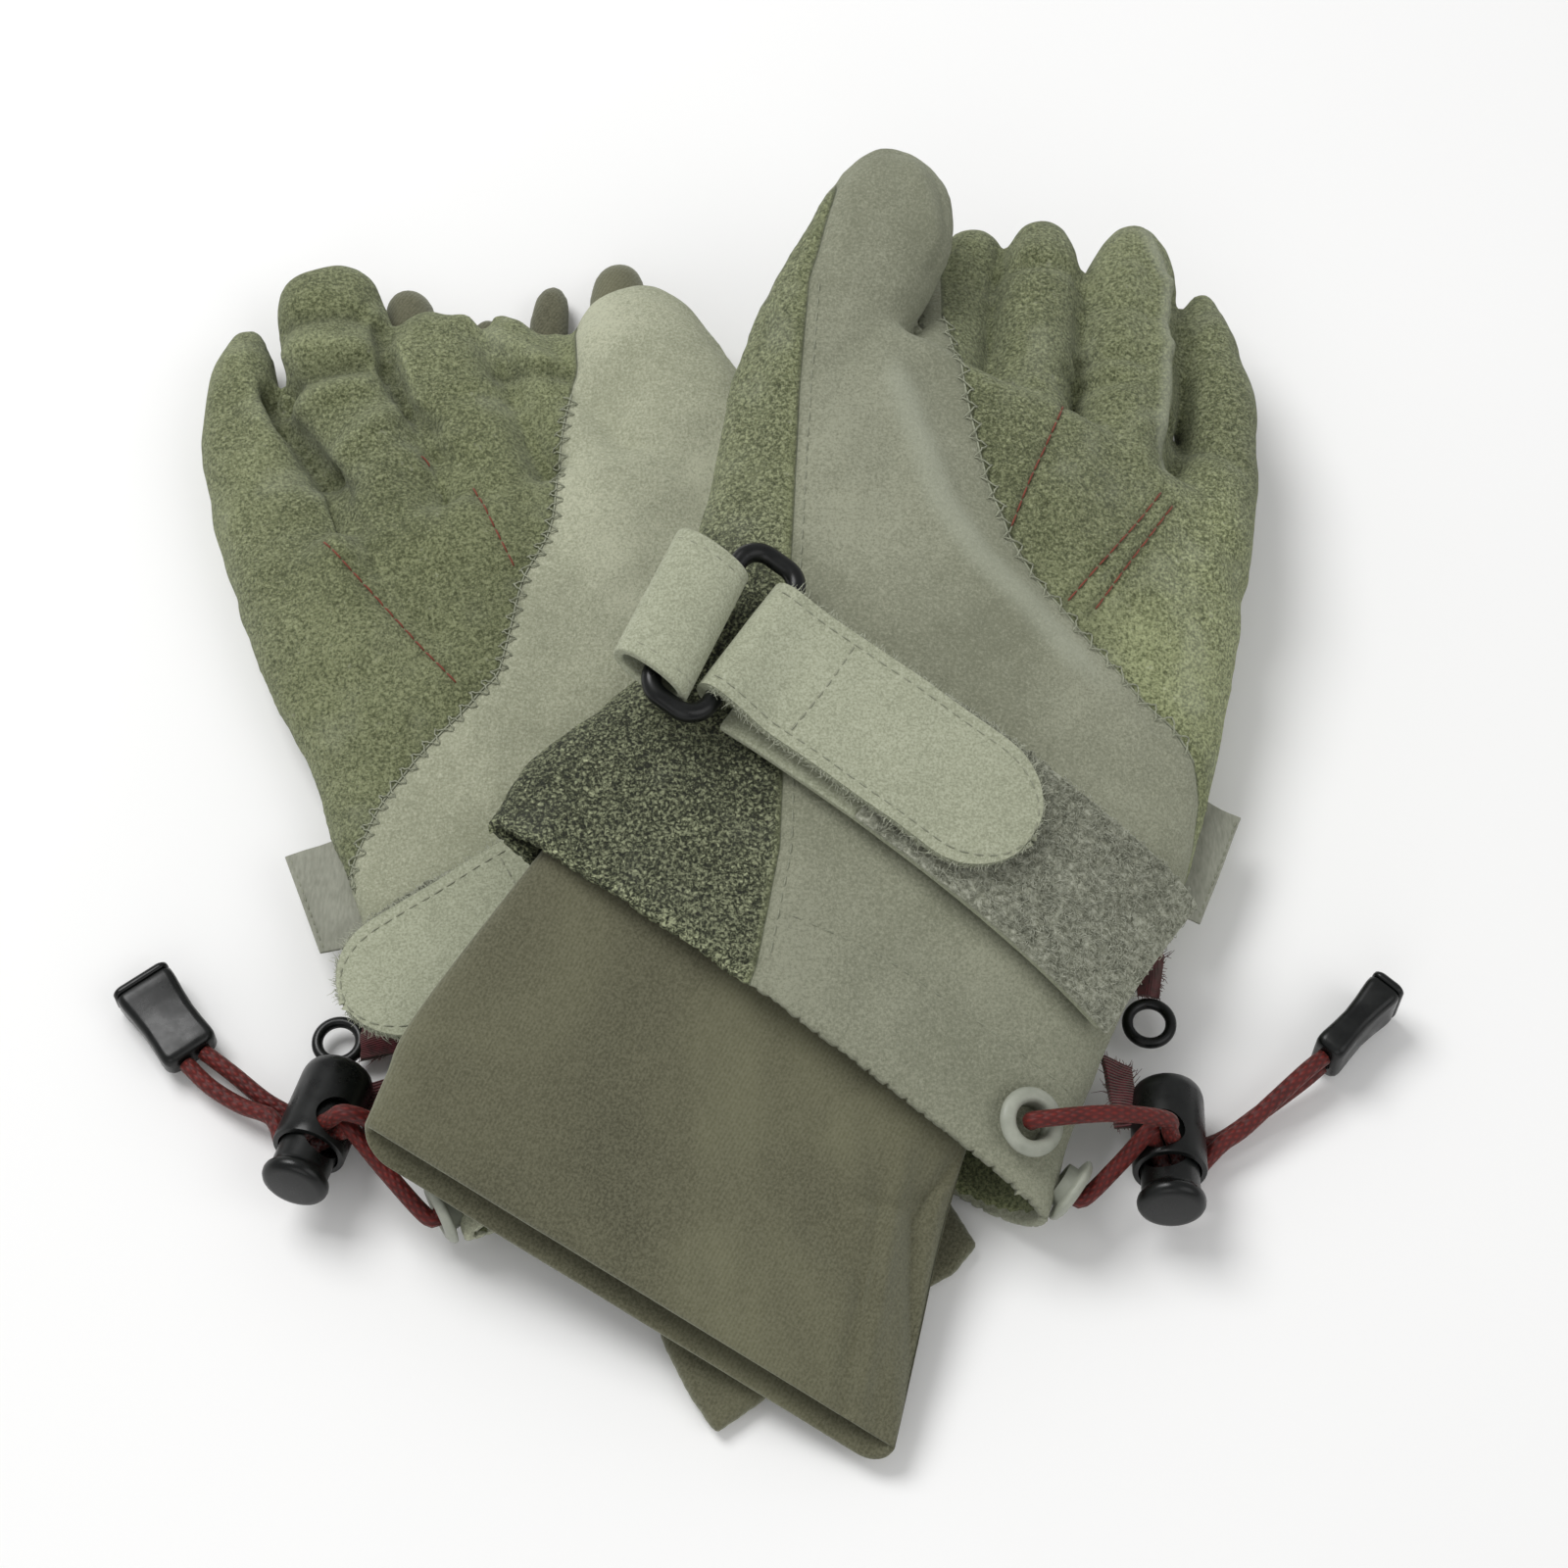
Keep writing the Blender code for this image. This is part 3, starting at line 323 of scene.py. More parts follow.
LEATHER = leather()
STRAP = soft_suede("strap_suede_look", (0.265, 0.279, 0.196), (0.345, 0.362, 0.260), (0.430, 0.448, 0.334), 2000, bump=0.5)
PILE = soft_suede("pile_fibre", (0.155, 0.160, 0.118), (0.27, 0.277, 0.215), (0.42, 0.428, 0.35), 900, 300, 40, 0.2, 0.4)
# seam thread darker than the strap it sits on: painted shade of the recessed seam
SEAM_SHADED = thread("seam_thread_painted_shade", (0.19, 0.20, 0.145), (0.30, 0.31, 0.23))
PALE = thread("overlock_thread", (0.20, 0.212, 0.150), (0.34, 0.355, 0.265))
FUZZ = thread("cut_edge_fibre", (0.32, 0.335, 0.245), (0.50, 0.52, 0.41))
REDTH = thread("red_thread", (0.13, 0.020, 0.010), (0.25, 0.05, 0.025))
KNIT, BLACK, RED, MAROON, TAPE, EYELET, STEEL = knit(), plastic(), elastic(), webbing(), tape(), enamel(), steel()

fl = Mat("pale_floor", 0.9, 0.1)
fl.colour(fl.ramp(fl.noise(3.0, 2.0), [(0.3, (0.90, 0.90, 0.895)), (0.7, (0.92, 0.92, 0.915))]))
me = bpy.data.meshes.new("floor")
me.from_pydata([(-4, -4, -0.0005), (4, -4, -0.0005), (4, 4, -0.0005), (-4, 4, -0.0005)], [], [(0, 1, 2, 3)])
me.materials.append(fl.m)
floor = bpy.data.objects.new("floor", me)
SCENE.collection.objects.link(floor)


# ------------------------------------------------------------------ geometry helpers
def make(name, verts, faces, mat, body, replaces=(), attrs=None, smooth=True):
    """verts are shared-frame millimetres"""
    v = (np.asarray([tuple(p) for p in verts] if not isinstance(verts, np.ndarray) else verts, float) + SHIFT) * MM
    me = bpy.data.meshes.new(name)
    me.from_pydata(v.tolist(), [], [list(map(int, f)) for f in faces])
    me.validate()
    me.materials.append(mat)
    me.polygons.foreach_set("use_smooth", [smooth] * len(me.polygons))
    for key, vals in (attrs or {}).items():
        at = me.attributes.new(key, "FLOAT", "POINT")
        at.data.foreach_set("value", np.asarray(vals, dtype=np.float32))
    ob = bpy.data.objects.new(name, me)
    SCENE.collection.objects.link(ob)
    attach(ob, body)
    if replaces:
        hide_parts(*replaces)
    return ob


def loft(rings, caps=True):
    n = len(rings[0])
    verts = [p for r in rings for p in r]
    faces = [(i * n + j, i * n + (j + 1) % n, (i + 1) * n + (j + 1) % n, (i + 1) * n + j)
             for i in range(len(rings) - 1) for j in range(n)]
    if caps:
        faces.append(tuple(range(n))[::-1])
        faces.append(tuple((len(rings) - 1) * n + j for j in range(n)))
    return verts, faces


def vnoise(p, seed=0):
    i = np.floor(p).astype(np.int64)
    f = p - i
    f = f * f * (3 - 2 * f)

    def h(a, b, c):
        n = (a * 73856093) ^ (b * 19349663) ^ (c * 83492791) ^ (seed * 26544357 + 977)
        n = ((n ^ (n >> 13)) * 1274126177) & 0x7FFFFFFF
        return ((n ^ (n >> 16)) & 0xFFFF) / 32767.5 - 1.0
    x, y, z = i[:, 0], i[:, 1], i[:, 2]
    fx, fy, fz = f[:, 0], f[:, 1], f[:, 2]
    out = 0
    for dx in (0, 1):
        for dy in (0, 1):
            for dz in (0, 1):
                w = (fx if dx else 1 - fx) * (fy if dy else 1 - fy) * (fz if dz else 1 - fz)
                out = out + w * h(x + dx, y + dy, z + dz)
    return out


def fbm(p, size, octaves=3, seed=0, gain=0.5):
    s, a, out = 1.0 / size, 1.0, 0
    for k in range(octaves):
        out = out + a * vnoise(p * s + 17.3 * k, seed + k)
        s, a = s * 2.03, a * gain
    return out


def seg_dist(q, poly):
    """q Nx2: distance, side (+ left of the run) and run length to a polyline"""
    best = np.full(len(q), 1e9)
    side = np.zeros(len(q))
    run = np.zeros(len(q))
    acc = 0.0
    for a, b in zip(poly[:-1], poly[1:]):
        a, b = np.array(a, float), np.array(b, float)
        d = b - a
        ln = np.hypot(*d)
        t = np.clip(((q - a) @ d) / (ln * ln), 0, 1)
        r = q - (a + t[:, None] * d)
        dist = np.hypot(r[:, 0], r[:, 1])
        s = np.sign(d[0] * (q[:, 1] - a[1]) - d[1] * (q[:, 0] - a[0]))
        m = dist < best
        best[m], side[m], run[m] = dist[m], s[m], (acc + t * ln)[m]
        acc += ln
    return best, side, run


def poly_smooth(pts, step=1.0):
    """Catmull-Rom through points of any dimension, resampled evenly"""
    p = np.array(pts, float)
    out = []
    for i in range(len(p) - 1):
        p0, p1, p2, p3 = p[max(0, i - 1)], p[i], p[i + 1], p[min(len(p) - 1, i + 2)]
        for t in np.linspace(0, 1, 24, endpoint=False):
            out.append(0.5 * (2 * p1 + (p2 - p0) * t + (2 * p0 - 5 * p1 + 4 * p2 - p3) * t * t + (3 * p1 - p0 - 3 * p2 + p3) * t ** 3))
    out.append(p[-1])
    out = np.array(out)
    d = np.r_[0, np.cumsum(np.linalg.norm(np.diff(out, axis=0), axis=1))]
    n = max(2, int(round(d[-1] / step)) + 1)
    s = np.linspace(0, d[-1], n)
    return np.stack([np.interp(s, d, out[:, k]) for k in range(p.shape[1])], 1)


class Soup:
    """many small tubes in one mesh"""

    def __init__(self):
        self.v, self.f, self.n = [], [], 0

    def tube(self, pts, r, sides=5, caps=True):
        pts = np.asarray(pts, float)
        m = len(pts)
        r = np.broadcast_to(np.asarray(r, float), (m,))
        t = np.gradient(pts, axis=0)
        t /= np.linalg.norm(t, axis=1)[:, None] + 1e-12
        up = np.array([0.0, 0.0, 1.0]) if abs(t[0][2]) < 0.9 else np.array([1.0, 0, 0])
        x = np.cross(t[0], up)
        x /= np.linalg.norm(x)
        ang = np.arange(sides) * 2 * math.pi / sides
        for i in range(m):
            x = x - t[i] * (x @ t[i])
            x /= np.linalg.norm(x) + 1e-12
            y = np.cross(t[i], x)
            self.v.append(pts[i] + r[i] * (np.cos(ang)[:, None] * x + np.sin(ang)[:, None] * y))
        b = self.n
        for i in range(m - 1):
            for j in range(sides):
                k = (j + 1) % sides
                self.f.append((b + i * sides + j, b + i * sides + k, b + (i + 1) * sides + k, b + (i + 1) * sides + j))
        if caps:
            self.f.append(tuple(b + j for j in range(sides))[::-1])
            self.f.append(tuple(b + (m - 1) * sides + j for j in range(sides)))
        self.n += m * sides

    def piece(self, name, mat, body, replaces=()):
        return make(name, np.concatenate(self.v), self.f, mat, body, replaces=replaces)


def stitches(soup, pts, nrm, length=2.6, gap=0.9, r=0.26, lift=0.12):
    """a row of short threads along pts (mm, with normals)"""
    d = np.r_[0, np.cumsum(np.linalg.norm(np.diff(pts, axis=0), axis=1))]
    s = 0.4
    while s + length < d[-1]:
        q = np.linspace(s, s + length, 6)
        p = np.stack([np.interp(q, d, pts[:, k]) for k in range(3)], 1)
        nn = np.stack([np.interp(q, d, nrm[:, k]) for k in range(3)], 1)
        rise = np.array([-0.45, 0.75, 1.0, 1.0, 0.75, -0.45]) * r
        soup.tube(p + nn * (rise + lift)[:, None], [r * 0.7, r, r, r, r, r * 0.7], 5)
        s += length + gap
    return soup


def power(x, e):
    return math.copysign(abs(x) ** e, x)


def between(table, v):
    if v <= table[0][0]:
        return table[0][1:]
    for a, b in zip(table, table[1:]):
        if v <= b[0]:
            t = (v - a[0]) / (b[0] - a[0])
            return [x + (y - x) * t for x, y in zip(a[1:], b[1:])]
    return table[-1][1:]


class Shell:
    def __init__(self, at, yaw, roll, sections, slant):
        self.m = (Matrix.Translation(Vector(at)) @ Matrix.Rotation(math.radians(yaw), 4, "Z")
                  @ Matrix.Rotation(math.radians(roll), 4, "Y"))
        self.R = np.array(self.m.to_3x3())
        self.o = np.array(self.m.translation)
        self.sections, self.slant = sections, slant

    def oval(self, v, deg, off=0.0):
        left, right, top, low_l, low_r = between(self.sections, v)
        c, s = math.cos(math.radians(deg)), math.sin(math.radians(deg))
        x, y = power(c, 2 / SUPER), power(s, 2 / SUPER)
        half, mid = (right - left) / 2, (right + left) / 2
        t = min(1.0, max(0.0, (x - 0.2) / 0.7))
        low = low_l + (low_r - low_l) * t * t * (3 - 2 * t)
        high = top if s >= 0 else low
        u, w = mid + half * x, high * y
        nx, ny = power(c, 2 - 2 / SUPER) / half, power(s, 2 - 2 / SUPER) / high
        ln = math.hypot(nx, ny)
        u, w = u + off * nx / ln, w + off * ny / ln
        fade = min(1.0, max(0.0, (-20 - v) / 25.0))
        return self.m @ Vector((u, v + self.slant * u * fade, w))

    def at(self, u, v, w):
        return self.m @ Vector((u, v, w))

    def top(self, u, v):
        left, right, top, low_l, low_r = between(self.sections, v)
        x = (u - (right + left) / 2) / ((right - left) / 2)
        return top * max(0.0, 1 - abs(x) ** SUPER) ** (1 / SUPER)

    def local(self, p):
        return (p - self.o) @ self.R

    def world(self, q):
        return q @ self.R.T + self.o


LEFT_SECTIONS = [(-60, -69, 57, 9.0, 7.6, 21.5), (-45, -68, 55, 10.0, 7.6, 22.0), (-28, -63, 54, 11.5, 7.6, 22.5),
                 (-8, -57, 55, 13.5, 7.6, 22.5), (12, -58, 55, 14.5, 7.8, 22.5), (35, -63, 52, 15.5, 8.2, 22.0),
                 (58, -69, 47, 15.5, 8.5, 20.0), (80, -72, 41.5, 14.0, 8.5, 16.5)]
RIGHT_SECTIONS = [(-60, -45, 35, 5.5, 6.2, 5.8), (-45, -45, 37, 5.6, 6.2, 5.8), (-28, -45, 43, 5.8, 6.2, 5.8),
                  (-8, -44, 50, 6.2, 6.2, 5.8), (12, -44, 57, 7.5, 6.2, 5.8), (35, -45, 62, 10.0, 6.2, 5.8),
                  (58, -47, 68, 12.5, 6.2, 5.8), (80, -48, 72, 13.0, 6.2, 5.8)]
L = Shell((26.0, -16.2, 28.4), -24.0, 15.0, LEFT_SECTIONS, -0.145)
R = Shell((-40.0, -25.0, 10.0), 20.0, 0.0, RIGHT_SECTIONS, 0.145)
LEFT_FINGERS = {
    "thumb": [(58, -54, 10, 2.0, 9.0), (80.3, -57.6, 13.8, 3.0, 10.5), (96, -57.5, 14.6, 6.0, 10.5), (106, -57.5, 14.4, 9.0, 9.5),
              (115, -58.3, 11.8, 10.0, 8.0), (121, -59.3, 7.6, 10.0, 5.6), (124.2, -59.8, 2.6, 10.0, 2.0)],
    "index_finger": [(66, -33, 10.0, 0.5, 10.5), (80.3, -32.6, 10.3, 0.0, 11.5), (95, -34.0, 8.6, -4.5, 9.0), (110, -37.0, 8.2, -8.0, 7.4),
                     (120, -38.0, 7.6, -8.0, 7.0), (126, -38.2, 5.8, -8.0, 5.4), (129.4, -38.4, 2.2, -8.0, 2.0)],
    "middle_finger": [(66, -11, 9.4, 1.0, 11.5), (80.3, -12.0, 9.4, 0.5, 12.0), (96, -16.0, 9.0, -1.0, 11.0), (113, -21.0, 8.8, -2.0, 10.0),
                      (124, -23.8, 8.6, -2.0, 9.0), (130.5, -25.4, 6.6, -2.0, 6.9), (134.6, -26.4, 2.6, -2.0, 2.6)],
    "ring_finger": [(66, 8.6, 10.0, 0.5, 12.5), (80.3, 8.4, 10.2, 0.0, 13.0), (96, 6.6, 11.4, -1.0, 12.5), (113, 0.4, 12.2, -2.0, 11.5),
                    (128, -4.0, 11.4, -3.0, 10.5), (138, -6.4, 9.0, -3.5, 8.6), (143, -7.6, 6.4, -3.5, 6.2), (146.4, -8.6, 2.6, -3.5, 2.6)],
    "little_finger": [(66, 30.4, 11.0, -1.0, 12.5), (80.3, 30.2, 10.8, -1.5, 13.5), (101, 27.7, 8.9, -3.0, 11.5), (120, 20.5, 9.0, -4.5, 10.0),
                      (132, 13.6, 7.4, -5.0, 8.0), (140.4, 10.0, 2.6, -5.0, 3.0)],
}
RIGHT_FINGERS = {
    "thumb": [(60, 56, 11, 2.0, 8.4), (80.3, 55.0, 15.6, 3.4, 9.6), (96, 52.8, 17.2, 4.0, 9.6), (108, 51.0, 17.0, 4.5, 9.4),
              (118, 50.4, 15.2, 5.0, 8.3), (124.5, 51.0, 12.0, 5.0, 6.4), (128.2, 51.6, 8.0, 5.0, 4.2), (130.0, 52.0, 3.6, 5.0, 1.8)],
    "index_finger": [(66, 32, 10.0, 2.2, 8.2), (80.3, 32.0, 10.2, 2.6, 8.8), (104, 29.4, 8.0, 2.0, 8.2), (120, 27.6, 6.8, 1.6, 7.6),
                     (131, 26.2, 5.4, 1.4, 6.4), (137, 25.2, 2.0, 1.4, 2.6)],
    "middle_finger": [(66, 10.6, 10.4, 2.4, 8.6), (80.3, 10.6, 10.6, 3.0, 9.2), (104, 10.2, 10.4, 2.6, 8.8), (120, 9.4, 11.0, 2.6, 8.6),
                      (131, 9.2, 10.4, 2.6, 7.8), (136.5, 9.4, 8.6, 2.6, 6.2), (140, 9.6, 3.4, 2.6, 2.6)],
    "ring_finger": [(66, -12.4, 11.0, 2.2, 8.6), (80.3, -12.2, 11.4, 2.6, 9.2), (104, -11.0, 11.4, 2.4, 9.0), (125, -12.2, 12.2, 2.6, 9.0),
                    (143, -9.4, 12.0, 3.2, 8.8), (152, -8.6, 11.0, 3.2, 7.4), (156.6, -8.4, 8.6, 3.2, 5.4), (159, -8.2, 3.4, 3.2, 2.4)],
    "spare_tip": [(106, 33.0, 4.6, 1.0, 5.0), (118, 34.2, 4.8, 1.2, 5.0), (124.5, 34.8, 4.0, 1.2, 4.0), (128, 35.2, 1.4, 1.2, 1.4)],
    "little_finger": [(66, -35.6, 11.0, 0.0, 8.0), (80.3, -35.8, 11.4, 0.0, 8.5), (104, -35.4, 11.8, -0.5, 8.5), (125, -35.0, 9.6, -0.5, 8.2),
                      (142, -31.4, 7.0, 0.0, 7.0), (150.4, -28.0, 2.6, 0.0, 2.8)],
}


def remeshed(name, parts, voxel, rounds=6):
    """union of closed lofts as an even skin: verts (mm), quads"""
    bm = bmesh.new()
    for v, f in parts:
        vs = [bm.verts.new(Vector(p)) for p in v]
        for q in f:
            bm.faces.new([vs[i] for i in q])
    bmesh.ops.recalc_face_normals(bm, faces=bm.faces)
    me = bpy.data.meshes.new(name + "_raw")
    bm.to_mesh(me)
    bm.free()
    ob = bpy.data.objects.new(name + "_raw", me)
    SCENE.collection.objects.link(ob)
    md = ob.modifiers.new("voxel", "REMESH")
    md.mode, md.voxel_size = "VOXEL", voxel
    bpy.context.view_layer.update()
    dg = bpy.context.evaluated_depsgraph_get()
    out = bpy.data.meshes.new_from_object(ob.evaluated_get(dg))
    v = np.empty(len(out.vertices) * 3)
    out.vertices.foreach_get("co", v)
    v = v.reshape(-1, 3)
    f = np.array([tuple(p.vertices) if len(p.vertices) == 4 else tuple(p.vertices) + (p.vertices[-1],) for p in out.polygons])
    bpy.data.objects.remove(ob, do_unlink=True)
    bpy.data.meshes.remove(out)
    return relax(v, f, rounds), f


def edges_of(f):
    e = np.concatenate([f[:, [0, 1]], f[:, [1, 2]], f[:, [2, 3]], f[:, [3, 0]]])
    e = e[e[:, 0] != e[:, 1]]
    e = np.unique(np.sort(e, axis=1), axis=0)
    return e


def relax(v, f, rounds, mask=None, k=0.5):
    e = edges_of(f)
    deg = np.bincount(e.ravel(), minlength=len(v)).astype(float)
    for _ in range(rounds):
        s = np.zeros_like(v)
        for c in range(3):
            s[:, c] = np.bincount(e[:, 0], v[e[:, 1], c], len(v)) + np.bincount(e[:, 1], v[e[:, 0], c], len(v))
        d = s / deg[:, None] - v
        v = v + d * (k if mask is None else (k * mask)[:, None])
    return v


def normals(v, f):
    a, b, c, d = (v[f[:, i]] for i in range(4))
    n = np.cross(c - a, d - b)
    out = np.zeros_like(v)
    for i in range(4):
        for k in range(3):
            out[:, k] += np.bincount(f[:, i], n[:, k], len(v))
    return out / (np.linalg.norm(out, axis=1)[:, None] + 1e-12)


def finger_parts(sh, rows):
    rows = np.array(rows, float)
    vv = np.unique(np.r_[np.arange(rows[0, 0], rows[-1, 0], 2.0), rows[-1, 0]])
    rings = []
    for v in vv:
        cu, hw, cw, hh = (np.interp(v, rows[:, 0], rows[:, k]) for k in (1, 2, 3, 4))
        rings.append([sh.at(cu + hw * power(math.cos(a), 0.9), v, cw + hh * power(math.sin(a), 0.9))
                      for a in [2 * math.pi * i / 28 for i in range(28)]])
    return loft(rings)


def gaussian(d, s):
    return np.exp(-(d / s) ** 2)


def hand(side, sh, fingers, voxel=1.15):
    parts = []
    vs = np.arange(-68.0, 83.1, 3.0)
    rings = [[sh.oval(v, 360.0 * i / 96) for i in range(96)] for v in vs]
    c = sum(rings[-1], Vector()) / 96
    ydir = sh.m.col[1].xyz
    rings.append([p.lerp(c, 0.12) + ydir * 2.4 for p in rings[-1]])
    parts.append(loft(rings))
    parts += [finger_parts(sh, r) for r in fingers.values()]
    v, f = remeshed(side + "_hand", parts, voxel, 7)
    return v, f


def smoothstep(x, a, b):
    t = np.clip((x - a) / (b - a), 0, 1)
    return t * t * (3 - 2 * t)


# feature lines in the glove frames
L_SEAM = [(-72, 121), (-72, 112), (-69, 100), (-65.2, 82.7), (-56.2, 59.2), (-47.8, 38.0), (-39.7, 17.8), (-31.6, -1.7), (-23.9, -19.4),
          (-18.7, -31.5), (-15.6, -43.1), (-12.7, -54.2), (-10.6, -70)]
L_LOCKEDGE = [(-44.5, 118), (-41.5, 108), (-38, 96.8), (-29.0, 80), (-20.0, 66.7), (-13.1, 57.7), (-5.3, 49.7), (2.4, 44.4), (10.5, 40.8),
              (21.2, 36.6), (32.0, 32.9), (39.9, 31.3), (46, 28.1), (50.5, 22), (53, 14), (55.5, 0), (60, -30), (70, -70)]
L_RIDGE = [(-47.8, 80), (-33.9, 63.3), (-21.7, 49.8), (-9.6, 41.9), (3.2, 37.4), (13.8, 33.0), (24, 31.0)]
L_DARTS = [[(-8.3, 86), (-7.9, 74), (-7.7, 64.5), (-6.6, 50.2)], [(17.2, 77.4), (15.2, 67), (13.2, 58.8), (9.4, 43.4)],
           [(20.4, 76), (18.6, 66), (17.1, 57.5), (14.9, 43.7)]]
L_HEMST = [(-11.5, -43), (-9.2, -42.4), (5.4, -41.3), (21.3, -42.5), (37.7, -44.0), (54.0, -45.8)]
R_LOCKEDGE = [(40, 126), (36, 112), (32.6, 104.7), (26.6, 92.8), (19.1, 74.3), (14.3, 67.3), (7.9, 60.3), (2.7, 51.9), (-2.9, 42.5), (-7.0, 39.6),
              (-12.2, 36.2), (-17.4, 33.9), (-23.6, 30.5), (-28.8, 27.0), (-34.1, 23.0), (-38.5, 18.2), (-43.1, 12.9), (-46.5, 8.1), (-52, -4)]
R_DARTS = [[(-2.2, 100.5), (-0.4, 95.5)], [(5.6, 88.0), (6.4, 76), (7.6, 63.2)], [(-27.5, 84), (-25.9, 79.6), (-20.9, 67.1), (-16.3, 54.6), (-11.5, 42.4)]]
R_FOLDS = [[(-22, 104), (-20.2, 86), (-18.5, 66.0), (-12.1, 53.7)], [(-3.4, 104), (4.9, 94.5), (6.8, 84)]]

# ---- left glove skin
v, f = hand("left", L, LEFT_FINGERS)
q = L.local(v)
n = normals(v, f)
nl = n @ L.R
u_, v_, w_ = q[:, 0], q[:, 1], q[:, 2]
up = smoothstep(nl[:, 2], 0.0, 0.45)                       # palm side
uv = q[:, :2]
ds, ss, rs = seg_dist(uv, L_SEAM)
de, se, re = seg_dist(uv, L_LOCKEDGE)
# inside the smooth panel: right of the seam run (towards the cuff) and left of the overlocked edge
p_seam = np.where(ss > 0, ds, -ds)
p_edge = np.where(se < 0, de, -de)
panel = np.minimum(p_seam, p_edge)
thumb = (v_ > 78) & (u_ < -42)
panel = np.where(thumb & (up < 0.5), np.maximum(panel, 4.0), panel)
panel = np.where((up < 0.02) & ~thumb & (v_ > -66), -6.0, panel)
coarse = np.clip(smoothstep(-p_seam, -1, 3) * smoothstep(v_, 40, -5) + 0.35 * smoothstep(-p_seam, -1, 3), 0, 1)
coarse = np.maximum(coarse, 0.25 * smoothstep(v_, 30, 60))
strap_zone = smoothstep(np.abs((v_ + 0.5) + (u_ + 46.5) * 0.149), 24, 15) * smoothstep(u_, -66, -56)
free = 1 - 0.85 * strap_zone * up
disp = fbm(v, 34, 2, 1) * 1.1 * free + fbm(v, 11, 3, 5) * 0.42 * free + fbm(v, 3.6, 2, 9) * 0.12
disp += up * np.where(panel > 0, 0.0, 0.0)
dr, sr, rr = seg_dist(uv, L_RIDGE)
fade_r = smoothstep(rr, 2, 16) * (1 - smoothstep(rr, 78, 92) * 0.7)
sd = dr * sr                                                # + above-left of the run
# painted highlight mask along the raised ridge of the palm
relief_light_shade = up * fade_r * gaussian(dr, 3.4)
disp += up * fade_r * (1.9 * gaussian(dr, 4.2) - 1.7 * gaussian(sd - 11, 9.0))
seam_g = up * (gaussian(ds, 0.8) * -0.55 + gaussian(p_seam - 2.2, 0.6) * -0.22)
disp += seam_g * smoothstep(v_, -66, -58)
disp += up * 0.45 * smoothstep(panel, -0.5, 0.5)
disp += up * -0.3 * gaussian(de, 1.3)
crease = np.zeros(len(v))
for d in L_DARTS:
    dd, sdd, rdd = seg_dist(uv, d)
    disp += up * (gaussian(dd, 1.0) * -0.75 + gaussian(dd, 4.5) * 0.7)
    crease += gaussian(dd, 1.2) * up
dh = seg_dist(uv, L_HEMST)[0]
disp += up * (-0.28 * gaussian(dh, 0.9))
disp += up * 0.35 * smoothstep(v_, -42, -52) * (p_seam > 0)
# rim seams of the thumb, creases of the bent fingers and the folds between them
rim = [(-69.6, 98), (-70.2, 106), (-68.6, 113), (-65.2, 118.6), (-60, 121.4), (-54.6, 119.6), (-49.4, 113), (-46.2, 106), (-45.2, 99)]
dt = seg_dist(uv, rim)[0]
disp += up * (-0.5 * gaussian(dt, 0.7))
disp += up * 1.0 * gaussian(seg_dist(uv, [(-58, 117), (-46, 103)])[0], 2.4)
for a, b, amp, wid in (((-10, 103), (2, 106.5), -1.3, 1.6), ((-14, 92), (-4, 90), -0.9, 2.0), ((14, 99), (30, 96), -1.0, 2.0),
                       ((-8, 118), (6, 121), -0.7, 1.8), ((-30, 118), (-16, 121), -0.8, 1.6), ((30, 78), (42, 70), -0.9, 3.0),
                       ((38, -19), (46, -28), -1.2, 2.2), ((-66, 60), (-60, 42), -0.8, 3.0), ((-10.4, 96.4), (0.9, 99.6), -1.2, 1.9),
                       ((4.5, 131), (9.4, 117), -1.2, 1.8), ((9.4, 117), (14.6, 100), -1.2, 1.9), ((14.6, 100), (15.6, 90), -1.3, 2.0),
                       ((-31, 116), (-17.5, 123), -0.8, 1.5), ((-34.0, 124), (-31.6, 112), -1.0, 1.5)):
    d0 = seg_dist(uv, [a, b])[0]
    disp += up * gaussian(d0, wid) * amp
for a, b, amp, wid in (((-3.2, 112), (-7.5, 128), 1.0, 2.4), ((4.0, 96), (10.5, 84), 1.2, 4.0), ((-8.2, 140), (0.2, 129.6), 1.3, 1.8), ((0.2, 129.6), (5.6, 113.5), 1.4, 1.8), ((5.6, 113.5), (11.6, 94), 1.4, 2.0), ((-2, 84), (2, 60), 0.7, 5.0)):
    d0 = seg_dist(uv, [a, b])[0]
    disp += up * gaussian(d0, wid) * amp
disp *= smoothstep(v_, -70, -56) * 0.8 + 0.2
v = v + n * disp[:, None]
# tone: slightly darker towards the cuff on the rough side, lighter along the cuff mouth
tone_light_shade = 1.0 - 0.04 * smoothstep(v_, -28, -46) * (panel < 0)
tone_light_shade += 0.42 * (panel < 0) * smoothstep(v_ - L.slant * u_, -56.8, -59.2)
# painted light: the right side of the left glove lighter
tone_light_shade += 0.42 * smoothstep(u_, 12, 30) * (panel < 0) * smoothstep(v_, -10, 10) * smoothstep(v_, 100, 80)
# the smooth panel darker towards the cuff
tone_light_shade -= 0.10 * smoothstep(panel, 0.0, 1.0) * smoothstep(v_, -20, -45)
# painted highlight along the raised fold of the fingers
lit = seg_dist(uv, [(-8.2, 140), (0.2, 129.6), (5.6, 113.5), (11.6, 94), (16, 84)])[0]
relief_light_shade = relief_light_shade + 0.8 * up * gaussian(lit, 1.6)
# colour attribute: painted highlight on the ridges, painted shade in the dart creases, darker along the seam line,
# random lighter patches
relief_light_shade_and_patches = relief_light_shade * 1.0 - 0.55 * crease - 0.5 * up * gaussian(ds, 0.9) + 0.35 * up * np.clip(fbm(v, 9, 3, 31), 0, 1) * (panel < 0)


